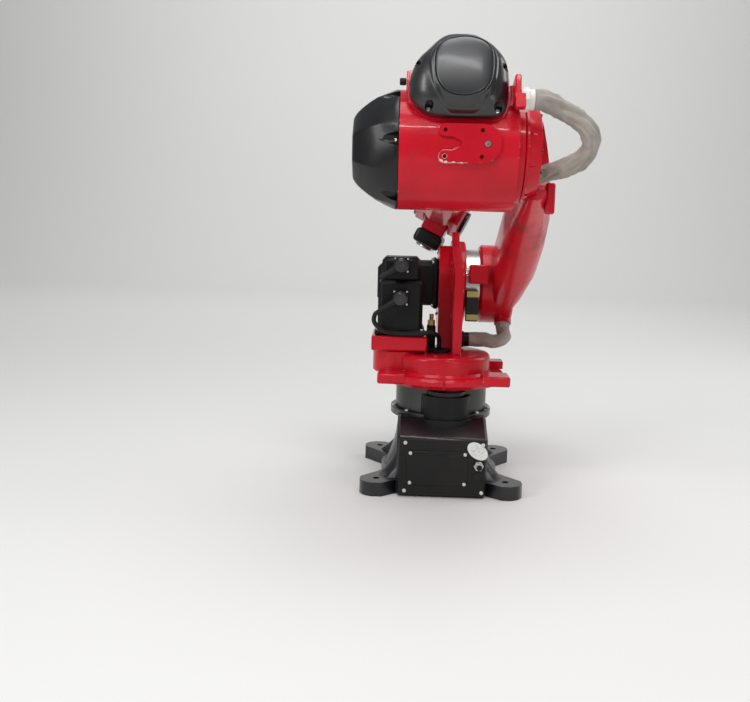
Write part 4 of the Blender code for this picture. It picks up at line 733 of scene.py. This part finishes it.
# %% The hood's outlines, as places across and up from the forearm's axis
HOOD_HEART = Vector((-0.004, 0.0))
SHELL_OUTLINE = ((-0.0331, 0.0673), (-0.0484, 0.0564), (-0.0635, 0.0395), (-0.0801, 0.0242),
                 (-0.0872, 0.0061), (-0.0925, -0.0110), (-0.0925, -0.0330), (-0.0860, -0.0530),
                 (-0.0662, -0.0706), (-0.0451, -0.0755), (0.0, -0.0757), (0.0600, -0.0755),
                 (0.0680, -0.0620), (0.0722, -0.0365), (0.0712, -0.0070), (0.0685, 0.0213),
                 (0.0606, 0.0331), (0.0463, 0.0493), (0.0335, 0.0580), (0.0150, 0.0672),
                 (-0.0091, 0.0690))
VISOR_OUTLINE = ((-0.0330, 0.0490), (-0.0480, 0.0370), (-0.0590, 0.0200), (-0.0600, 0.0020),
                 (-0.0575, -0.0200), (-0.0510, -0.0400), (-0.0400, -0.0590), (-0.0250, -0.0725),
                 (-0.0030, -0.0752), (0.0190, -0.0720), (0.0350, -0.0575), (0.0450, -0.0350),
                 (0.0490, -0.0130), (0.0505, 0.0120), (0.0450, 0.0320), (0.0310, 0.0445),
                 (0.0140, 0.0520), (-0.0070, 0.0545))
WINDOW_OUTLINE = ((-0.0330, 0.0405), (-0.0460, 0.0290), (-0.0500, 0.0150), (-0.0500, 0.0000),
                  (-0.0485, -0.0180), (-0.0445, -0.0310), (-0.0360, -0.0425), (-0.0240, -0.0500),
                  (-0.0010, -0.0530), (0.0210, -0.0475), (0.0330, -0.0370), (0.0390, -0.0230),
                  (0.0410, -0.0050), (0.0412, 0.0130), (0.0390, 0.0265), (0.0290, 0.0375),
                  (0.0140, 0.0440), (-0.0070, 0.0465))
HOOD_TILT = math.radians(17.0)
FOREARM_RISE = 0.090
ELBOW_BACK = CAD_LOW[1] + 0.0004


def hood_point(x, depth, z):
    """A place in the world from across, back and up in the tilted housing."""
    up = FOREARM_RISE + z
    back = -depth * math.cos(HOOD_TILT) + up * math.sin(HOOD_TILT)
    high = depth * math.sin(HOOD_TILT) + up * math.cos(HOOD_TILT)
    return Vector((x, max(J3.y + back, ELBOW_BACK), min(J3.z + high, CAD_HIGH[2])))


HOOD_BACK = hood_point(0, 0.12, 0) - hood_point(0, 0.11, 0)
print("points per outline:", len(SHELL_OUTLINE), len(VISOR_OUTLINE), len(WINDOW_OUTLINE))


# %% Outlines read as radii at even angles
def radius_at(outline, angle):
    """How far the outline is from the heart in one direction."""
    ray = Vector((math.cos(angle), math.sin(angle)))
    for a, b in zip(outline, outline[1:] + outline[:1]):
        a, b = Vector(a) - HOOD_HEART, Vector(b) - HOOD_HEART
        step = b - a
        cross = ray.x * step.y - ray.y * step.x
        if abs(cross) < 1e-12:
            continue
        away = (a.x * step.y - a.y * step.x) / cross
        share = (a.x * ray.y - a.y * ray.x) / cross
        if away > 0 and -1e-9 <= share <= 1 + 1e-9:
            return away
    raise ValueError("the outline doesn't go round its heart")


def even_radii(outline, count, blur):
    """Radii at even angles, with corners softened by a running mean."""
    radii = [radius_at(outline, math.tau * k / count) for k in range(count)]
    for _ in range(blur):
        radii = [(radii[k - 1] + 2 * radii[k] + radii[(k + 1) % count]) / 4 for k in range(count)]
    return radii


HOOD_SPOKES = 72
shell_radii = even_radii(SHELL_OUTLINE, HOOD_SPOKES, 2)
visor_radii = even_radii(VISOR_OUTLINE, HOOD_SPOKES, 3)
window_radii = even_radii(WINDOW_OUTLINE, HOOD_SPOKES, 3)
print("hood is", round(max(shell_radii), 3), "m at its widest from the heart")


# %% A shape grown ring by ring
def grow(name, rings):
    """Extrudes a rim from ring to ring in edit mode and closes both ends."""
    deselect_all()
    bpy.ops.mesh.primitive_circle_add(vertices=len(rings[0]), radius=1.0)
    piece = bpy.context.active_object
    piece.name = name
    bpy.ops.object.mode_set(mode="EDIT")
    marks = list(range(len(rings[0])))
    for k, ring in enumerate(rings):
        if k:
            bpy.ops.mesh.extrude_region()
        shape = bmesh.from_edit_mesh(piece.data)
        shape.verts.ensure_lookup_table()
        if k:
            marks = [next(edge.other_vert(vert).index for edge in vert.link_edges
                          if edge.other_vert(vert).select)
                     for vert in [shape.verts[mark] for mark in marks]]
        for mark, place in zip(marks, ring):
            shape.verts[mark].co = place
        bmesh.update_edit_mesh(piece.data)
    bpy.ops.mesh.select_mode(type="EDGE")
    bpy.ops.mesh.select_all(action="DESELECT")
    bpy.ops.mesh.select_non_manifold()
    bpy.ops.mesh.fill_holes(sides=0)
    bpy.ops.mesh.select_mode(type="VERT")
    bpy.ops.mesh.select_all(action="SELECT")
    bpy.ops.mesh.normals_make_consistent(inside=False)
    bpy.ops.object.mode_set(mode="OBJECT")
    return piece


def turned(name, profile, centre, axis, sides=32):
    """A piece as from a lathe: each profile point is a distance along the axis and a radius."""
    axis = Vector(axis).normalized()
    across = axis.orthogonal().normalized()
    side = axis.cross(across)
    turns = [math.tau * k / sides for k in range(sides)]
    return grow(name, [[Vector(centre) + axis * along
                        + (across * math.cos(turn) + side * math.sin(turn)) * radius for turn in turns]
                       for along, radius in profile])


print("rings can be grown and turned")


# %% The hood's rings in one direction
DOME = ((0.98, 0.1165), (0.94, 0.1235), (0.89, 0.1300), (0.80, 0.1375), (0.70, 0.1425), (0.55, 0.1465),
        (0.0, 0.1490))


def dome_depth(share):
    """Depth of the wings at a share of the way from the heart to the rim."""
    for (outer, low), (inner, high) in zip(DOME, DOME[1:]):
        if share >= inner:
            return low + (high - low) * min(1.0, max(0.0, (outer - share) / (outer - inner)))
    return DOME[-1][1]


def ease(value, low, high):
    """0 below low, 1 above high, and a smooth step between them."""
    t = min(1.0, max(0.0, (value - low) / (high - low)))
    return t * t * (3 - 2 * t)


def hood_profiles(angle, rim, visor, window):
    """Radius and depth of every ring in one direction, for the shell and for the window."""
    visor = min(visor, rim * 0.94)
    window = min(window, visor - 0.0068)
    chin = ease(-math.sin(angle), 0.45, 0.95)
    brow = ease(math.sin(angle), 0.55, 0.95)
    wall = 0.1462 - 0.0125 * chin - 0.0050 * brow
    outer = rim * 0.975
    inner = visor + 0.0016
    shell = [(rim * 0.985, 0.1042), (rim * 0.992, 0.1100), (outer, 0.1175)]
    for share in (0.2, 0.4, 0.6, 0.8, 1.0):
        radius = outer + (inner - outer) * share
        shell.append((radius, max(0.1180, dome_depth(radius / rim))))
    foot = shell[-1][1]
    top = max(wall, foot + 0.0020)
    shell += [(visor + 0.0003, foot + 0.0006), (visor - 0.0012, top), (visor - 0.0030, top + 0.0016)]
    start, lip = shell[-1], (window + 0.0026, 0.1498)
    for share, hollow in ((0.3, 0.0020), (0.65, 0.0022), (0.9, 0.0006)):
        shell.append((start[0] + (lip[0] - start[0]) * share,
                      start[1] + (lip[1] - start[1]) * share - hollow * chin))
    shell += [lip, (window + 0.0014, 0.1500), (window + 0.0010, 0.1480), (window * 0.5, 0.1480),
              (window * 0.1, 0.1480)]
    pane = [(window * 0.96, 0.1484), (window + 0.0000, 0.1486), (window - 0.0001, 0.1498),
            (window - 0.0010, 0.1509), (window - 0.0030, 0.1517), (window * 0.84, 0.1530),
            (window * 0.66, 0.1546), (window * 0.46, 0.1557), (window * 0.26, 0.1563),
            (window * 0.08, 0.1565)]
    return shell, pane


print("rings of the shell and the window:", [len(part) for part in hood_profiles(0.0, 0.07, 0.05, 0.04)])

# %% Hood shell and window
shell_spokes, pane_spokes = [], []
for k in range(HOOD_SPOKES):
    angle = math.tau * k / HOOD_SPOKES
    ray = Vector((math.cos(angle), math.sin(angle)))
    for profile, spokes in zip(hood_profiles(angle, shell_radii[k], visor_radii[k], window_radii[k]),
                               (shell_spokes, pane_spokes)):
        spokes.append([hood_point(HOOD_HEART.x + ray.x * radius, depth, HOOD_HEART.y + ray.y * radius)
                       for radius, depth in profile])
hood = grow("hood_shell", [list(ring) for ring in zip(*shell_spokes)])
subdivide(hood)
HOOD_POCKETS = ((-0.0590, -0.0630, 0.1125), (0.0530, -0.0640, 0.1125), (-0.0800, 0.0110, 0.1120),
                (0.0655, 0.0070, 0.1120))
for x, z, floor_depth in HOOD_POCKETS:
    pocket = turned("pocket_cutter", ((0.0, 0.0058), (0.010, 0.0066), (0.045, 0.0100)),
                    hood_point(x, floor_depth, z), HOOD_BACK, 24)
    carve(hood, pocket)
smooth_below(hood, 40.0)
settle(hood, "elbow", "hood_moulding", "black_plastic", "rear_hood")
pane = grow("hood_window", [list(ring) for ring in zip(*pane_spokes)])
subdivide(pane)
smooth_below(pane, 50.0)
settle(pane, "elbow", "window_gloss", "black_plastic")
print("hood faces:", len(hood.data.polygons), "window faces:", len(pane.data.polygons))

# %% [markdown]
# ## Motor cap
# The cap over the elbow motor is an eight-sided moulding that turns round
# towards its rim. It grows from the rim section by section, its edges are
# rounded, and six cones are carved out of it, tips towards the closed end: the
# channels through which a screwdriver reaches its screws.

# %% Cap with screw channels
CAP_RIM = -0.1058
CAP_RADIUS = 0.1025
CAP_LENGTH = 0.0798
CAP_FACETS = 0.85
CHANNEL_ANGLES = [math.radians(degrees) for degrees in (7.0, 62.0, 127.0, 187.0, 247.0, 307.0)]


def round_elbow(x, radius, angle):
    """A place about the elbow's axis; the angle runs from straight back to straight up."""
    return J3 + Vector((x, -radius * math.cos(angle), radius * math.sin(angle)))


CAP_SECTIONS = ((0.0, 0.997, 0.0), (0.05, 0.997, 0.0), (0.12, 0.988, 0.10), (0.30, 0.950, 0.50),
                (0.48, 0.900, 0.85), (0.64, 0.820, 1.0), (0.80, 0.720, 1.0), (0.90, 0.645, 1.0),
                (0.955, 0.585, 1.0), (0.985, 0.545, 1.0), (1.0, 0.490, 1.0), (1.0, 0.250, 1.0))


def cap_section(depth, size, flat, count=96):
    """A circle that turns into an eight-sided outline towards the closed end."""
    ring = []
    for k in range(count):
        angle = math.tau * k / count
        within = (angle + math.pi / 8) % (math.pi / 4) - math.pi / 8
        shape = 1.0 + (math.cos(math.pi / 8) / math.cos(within) - 1.0) * flat * CAP_FACETS
        radius = CAP_RADIUS * size * shape
        ring.append(J3 + Vector((CAP_RIM - CAP_LENGTH * depth, radius * math.cos(angle),
                                 radius * math.sin(angle))))
    return ring


cap = grow("motor_cap_shell", [cap_section(*section) for section in CAP_SECTIONS])
round_edges(cap, 0.0016, 2, 15.0)
for angle in CHANNEL_ANGLES:
    channel = turned("channel_cutter", ((-0.010, 0.0135), (0.0, 0.0120), (0.028, 0.0068), (0.052, 0.0010)),
                     round_elbow(CAP_RIM, 0.1000, angle), (-1.0, 0.0, 0.04), 24)
    carve(cap, channel)
even_light(cap, 24.0)
settle(cap, "elbow", "black_moulding", "black_plastic", "j3_motor_cap")
print("cap faces:", len(cap.data.polygons))

# %% [markdown]
# ## Screws and bolts
# All the small fasteners share one head: a low drum with a rounded rim and a
# six-sided socket. It is modelled once, one unit wide, and copied to each
# place, turned so that its top looks away from the surface it sits on. Screws
# of one group are joined, because they move together. The loose head is deleted
# at the end.

# %% One socket head
def socket_head():
    """A head one unit wide that looks up."""
    deselect_all()
    bpy.ops.mesh.primitive_cylinder_add(vertices=20, radius=0.5, depth=0.40, location=(0.0, 0.0, 0.10))
    head = bpy.context.active_object
    bpy.ops.object.transform_apply(location=True)
    edit_faces(head, lambda face: face.normal.z > 0.9)
    bpy.ops.mesh.inset(thickness=0.06)
    bpy.ops.transform.translate(value=(0.0, 0.0, 0.05))
    bpy.ops.object.mode_set(mode="OBJECT")
    deselect_all()
    bpy.ops.mesh.primitive_cylinder_add(vertices=6, radius=0.26, depth=0.40, location=(0.0, 0.0, 0.35))
    carve(head, bpy.context.active_object)
    return head


HEAD = socket_head()


def fasten(name, body, chip_and_highlight_spots, finish="zinc_screw", slot="bright_steel"):
    """Copies the head to each spot: a place on the surface, the way it looks, and its width."""
    copies = []
    for place, normal, width in chip_and_highlight_spots:
        turn = Vector(normal).to_track_quat("Z", "Y").to_matrix().to_4x4()
        copy = bpy.data.objects.new(name, HEAD.data.copy())
        link(copy)
        copy.data.transform(Matrix.Translation(place) @ turn @ Matrix.Scale(width, 4))
        copies.append(copy)
    pick(copies[0])
    for copy in copies:
        copy.select_set(True)
    bpy.ops.object.join()
    group = bpy.context.view_layer.objects.active
    smooth_below(group, 30.0)
    settle(group, body, finish, slot)


print("head faces:", len(HEAD.data.polygons))

# %% Fasteners of the base
LEFT, RIGHT = (-1.0, 0.0, 0.0), (1.0, 0.0, 0.0)
REAR, INWARD = (0.0, -1.0, 0.0), (0.0, 1.0, 0.0)
UP = (0.0, 0.0, 1.0)
COVER_BACK = STICKER_CENTRE[1]
PLATE_BACK = -0.1746
FLANGE_CIRCLE = 0.1063
FLANGE_TOP = 0.1650
fasten("cover_screws", "base",
       [((x, COVER_BACK, z), REAR, 0.0078) for x in (-0.0775, 0.0845) for z in (0.0150, 0.1185)])
fasten("plate_screws", "base",
       [((x, PLATE_BACK, z), REAR, 0.0072) for x in (-0.0665, 0.0475) for z in (0.0335, 0.0975)])
flange_turns = [math.radians(degrees) for degrees in (-46, 46, -80, 80, -115, 115, -150, 150, 180)]
fasten("flange_bolts", "base",
       [((FLANGE_CIRCLE * math.sin(turn), -FLANGE_CIRCLE * math.cos(turn), FLANGE_TOP), UP, 0.0085)
        for turn in flange_turns])
print("base fastened")

# %% Fasteners of the column
J2_Y, J2_Z = 0.150, 0.430
MOTOR_X = -0.097
POWER_HEIGHT, SIGNAL_HEIGHT = 0.41004, 0.4805
BOSS_CIRCLE = 0.080
fasten("j1_motor_bolts", "column",
       [((MOTOR_X + x, y, 0.3393), UP, 0.0080) for x in (-0.0485, 0.0485) for y in (-0.0485, 0.0485)])
fasten("j2_motor_bolts", "column",
       [((-0.0228, J2_Y + y, J2_Z + z), LEFT, 0.0085)
        for y in (-0.0505, 0.0505) for z in (-0.0505, 0.0505)])
fasten("socket_screws", "column",
       [((MOTOR_X + x, y, height + z), REAR, 0.0042)
        for y, height in ((-0.0580, POWER_HEIGHT), (-0.0510, SIGNAL_HEIGHT))
        for x in (-0.0138, 0.0138) for z in (-0.0138, 0.0138)])
boss_turns = [math.radians(degrees) for degrees in range(15, 375, 45)]
fasten("boss_screws", "column",
       [((-0.0105, J2_Y + BOSS_CIRCLE * math.cos(turn), J2_Z + BOSS_CIRCLE * math.sin(turn)), LEFT, 0.0060)
        for turn in boss_turns], "screw_black", "motor_black")
print("column fastened")

# %% Fasteners of the elbow
POCKET_SEAT = 0.0004
HUB_CIRCLE = 0.0700
HUB_FACE = 0.1335
fasten("hood_screws", "elbow",
       [(hood_point(x, depth + POCKET_SEAT, z), HOOD_BACK, 0.0072) for x, z, depth in HOOD_POCKETS[:2]])
fasten("hood_side_screws", "elbow",
       [(hood_point(x, depth + POCKET_SEAT, z), HOOD_BACK, 0.0072) for x, z, depth in HOOD_POCKETS[2:]],
       "screw_black", "black_plastic")
fasten("cap_screws", "elbow",
       [(round_elbow(CAP_RIM - 0.005, 0.0885, angle), (-0.6, -math.cos(angle), math.sin(angle)), 0.0050)
        for angle in CHANNEL_ANGLES])
fasten("hub_bolts", "lower_arm",
       [(round_elbow(HUB_FACE, HUB_CIRCLE, math.radians(turn)), RIGHT, 0.0052)
        for turn in range(0, 360, 30)],
       "screw_black", "motor_black")
bpy.data.objects.remove(HEAD, do_unlink=True)
print("elbow fastened")

# %% Ring plug in the pad
plug = turned("pad_plug_ring", ((0.0100, 0.0050), (-0.0004, 0.0050), (-0.0010, 0.0046), (-0.0010, 0.0030),
                                (0.0012, 0.0024), (0.0030, 0.0012)), J3 + Vector((0.0396, -0.1065, 0.0065)),
              INWARD, 28)
smooth_below(plug, 35.0)
settle(plug, "elbow", "bright_steel", "bright_steel", "pad_plug")
print("plug faces:", len(plug.data.polygons))

# %% [markdown]
# ## Connectors of the first motor
# Each cable leaves the motor through a square socket with a ribbed coupling
# nut. The nut is turned from a profile and its ribs are short extrusions, and
# behind it a stepped disc closes the plug.

# %% Coupling nuts
NUT_SIDES = 48


def coupling_nut(name, centre, radius=0.0150):
    """A short drum whose every third face round its side stands out as a rib."""
    profile = ((0.0, 0.90), (-0.0008, 1.0), (-0.0078, 1.0), (-0.0088, 0.93), (-0.0088, 0.80),
               (-0.0080, 0.78))
    nut = turned(name, [(along, radius * share) for along, share in profile], centre, INWARD, NUT_SIDES)

    def is_rib(face):
        middle = face.calc_center_median() - Vector(centre)
        turn = math.atan2(middle.z, middle.x) / math.tau * NUT_SIDES
        return (abs(face.normal.y) < 0.2 and round(turn - 0.5) % 3 == 0
                and middle.xz.length > radius * 0.97)

    edit_faces(nut, is_rib)
    bpy.ops.mesh.extrude_region_shrink_fatten(TRANSFORM_OT_shrink_fatten={"value": 0.0007})
    bpy.ops.object.mode_set(mode="OBJECT")
    smooth_below(nut, 35.0)
    settle(nut, "column", "coupling_metal", "rubber")


coupling_nut("power_coupling", (MOTOR_X, -0.0665, POWER_HEIGHT))
coupling_nut("signal_coupling", (MOTOR_X, -0.0595, SIGNAL_HEIGHT))
print("nuts ribbed")


# %% Faces of the plugs
def plug_face(name, centre):
    """Concentric steps on the back of a plug."""
    face = turned(name, ((0.0020, 0.0128), (-0.0010, 0.0128), (-0.0016, 0.0122), (-0.0016, 0.0104),
                         (-0.0002, 0.0098), (-0.0002, 0.0082), (-0.0020, 0.0076), (-0.0020, 0.0052),
                         (-0.0008, 0.0046), (-0.0008, 0.0022)), centre, INWARD, 36)
    smooth_below(face, 35.0)
    settle(face, "column", "coupling_metal", "rubber")


plug_face("power_plug_face", (MOTOR_X, -0.0883, POWER_HEIGHT))
plug_face("signal_plug_face", (MOTOR_X, -0.0813, SIGNAL_HEIGHT))
print("connectors done")

# %% [markdown]
# ## Small things on the back of the base
# A slanting, smudged sticker without print, the plug in the air fitting, the plug of
# an unused cable hole and the folded top edge of the connector plate break up
# the flat cover.

# %% Sticker and plugs
LONG = Vector((0.802, 0.0, -0.598)) * 0.0240
SHORT = Vector((0.598, 0.0, 0.802)) * 0.0158
angles = [math.tau * k / 56 for k in range(56)]
sticker = grow("oval_sticker", [
    [Vector(STICKER_CENTRE) - Vector((0.0, depth, 0.0))
     + (LONG * math.cos(angle) + SHORT * math.sin(angle)) * share for angle in angles]
    for share, depth in ((1.0, 0.0), (1.0, 0.00030), (0.98, 0.00045), (0.5, 0.00045))])
settle(sticker, "base", "blank_label", "bright_steel")
tube_plug = turned("tube_plug", ((0.0002, 0.0060), (-0.0006, 0.0060), (-0.0010, 0.0055), (-0.0005, 0.0046),
                                 (-0.0005, 0.0020)), (0.0772, -0.1866, 0.0732), INWARD, 28)
settle(tube_plug, "base", "soft_rubber", "rubber")
hole_plug = turned("hole_plug", ((0.0, 0.0105), (-0.0012, 0.0105), (-0.0020, 0.0098), (-0.0020, 0.0076),
                                 (-0.0008, 0.0070), (-0.0008, 0.0050), (-0.0016, 0.0046), (-0.0016, 0.002)),
                   (0.0765, COVER_BACK, 0.0480), INWARD, 36)
smooth_below(hole_plug, 35.0)
settle(hole_plug, "base", "black_moulding", "black_plastic")
print("sticker and plugs done")


# %% Folded edge of the connector plate
def rounded_bar(name, low, high, edge):
    """A bar between two corners with its edges rounded."""
    deselect_all()
    centre = [(a + b) / 2 for a, b in zip(low, high)]
    bpy.ops.mesh.primitive_cube_add(size=1.0, location=centre)
    bar = bpy.context.active_object
    bar.name = name
    bar.scale = [b - a for a, b in zip(low, high)]
    bpy.ops.object.transform_apply(location=True, rotation=True, scale=True)
    round_edges(bar, edge, 3)
    return bar


for name, back, low_z, high_z, edge in (("plate_fold", -0.1756, 0.0920, 0.0936, 0.0005),
                                        ("plate_fold_upper", -0.1753, 0.0950, 0.0960, 0.0004)):
    fold = rounded_bar(name, (-0.0715, back, low_z), (0.0525, -0.1744, high_z), edge)
    settle(fold, "base", "black_sheet", "black_plastic")
print("plate edge folded")

# %% [markdown]
# ## Bands of the shoulder buffer
# The buffer that stops the arm is wrapped near each end by a yellow-green band.

# %% Buffer bands
for name, low_z, high_z in (("buffer_band_upper", 0.4065, 0.4200), ("buffer_band_lower", 0.3540, 0.3670)):
    band = rounded_bar(name, (0.0530, 0.0424, low_z), (0.0801, 0.0671, high_z), 0.0008)
    settle(band, "column", "band_green", "buffer_black")
print("bands done")

# %% [markdown]
# ## Floor and light
# A pale floor runs up into a wall behind the robot, as in a photographer's
# sweep, so the camera sees one quiet background. Soft lamps stand where the
# hall's roof lights and windows are: above, high behind the camera and to the
# left. The high one is narrow, and the enamel mirrors it as the bright line
# along the barrel. Two weak lamps fill the right side, and one lights the wall.
# The world is dim, because what the robot mirrors towards the camera is the dim
# side of the hall, and that is what keeps the red deep and the blacks black.

# %% Floor that runs up into a wall
FLOOR_SIZE = 14.0
WALL_HEIGHT = 6.0
deselect_all()
bpy.ops.mesh.primitive_plane_add(size=FLOOR_SIZE, location=(0.0, 0.0, -0.0005))
floor = bpy.context.active_object
floor.name = "studio_floor"
bpy.ops.object.mode_set(mode="EDIT")
bpy.ops.mesh.select_all(action="DESELECT")
shape = bmesh.from_edit_mesh(floor.data)
for edge in shape.edges:
    edge.select_set(all(vert.co.y > FLOOR_SIZE * 0.49 for vert in edge.verts))
bmesh.update_edit_mesh(floor.data)
bpy.ops.mesh.extrude_region_move(TRANSFORM_OT_translate={"value": (0.0, 0.0, WALL_HEIGHT)})
bpy.ops.object.mode_set(mode="OBJECT")
round_edges(floor, 2.4, 24, 30.0)
pale = Finish("studio_floor", Base_Color=(0.74, 0.735, 0.72), Roughness=0.6)
floor.data.materials.append(pale.material)
floor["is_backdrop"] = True
print("floor", tuple(round(v, 2) for v in floor.dimensions))


# %% Lamps and world
def soft_lamp(name, place, aim, size, power, colour=(1.0, 1.0, 1.0)):
    """A rectangle of light at a place, turned towards its aim."""
    light = bpy.data.lights.new(name, "AREA")
    light.shape = "RECTANGLE"
    light.size, light.size_y = size
    light.energy = power
    light.color = colour
    lamp = bpy.data.objects.new(name, light)
    link(lamp)
    lamp.location = place
    lamp.rotation_euler = (Vector(aim) - Vector(place)).to_track_quat("-Z", "Y").to_euler()


soft_lamp("roof_lights", (0.2, -0.4, 3.2), (0.0, 0.0, 0.5), (2.6, 1.6), 58.0, (0.97, 0.98, 1.0))
soft_lamp("high_windows", (-0.4, -2.7, 3.0), (0.0, -0.2, 0.6), (3.2, 0.16), 46.0)
soft_lamp("left_windows", (-2.4, -2.0, 1.7), (0.0, -0.2, 0.6), (0.7, 1.8), 30.0)
soft_lamp("camera_fill", (1.5, -2.9, 0.8), (0.0, 0.0, 0.5), (1.0, 1.2), 9.0, (1.0, 0.985, 0.96))
soft_lamp("right_rim", (2.4, 1.0, 1.6), (0.0, 0.0, 0.5), (0.8, 1.8), 15.0)
soft_lamp("wall_wash", (0.0, 2.6, 4.2), (0.0, 7.0, 1.6), (6.0, 1.5), 150.0)
world = bpy.data.worlds.new("studio")
bpy.context.scene.world = world
world.use_nodes = True
sky = world.node_tree.nodes["Background"]
sky.inputs["Color"].default_value = (0.92, 0.94, 0.96, 1.0)
sky.inputs["Strength"].default_value = 0.30
bpy.context.scene.view_settings.view_transform = "Standard"
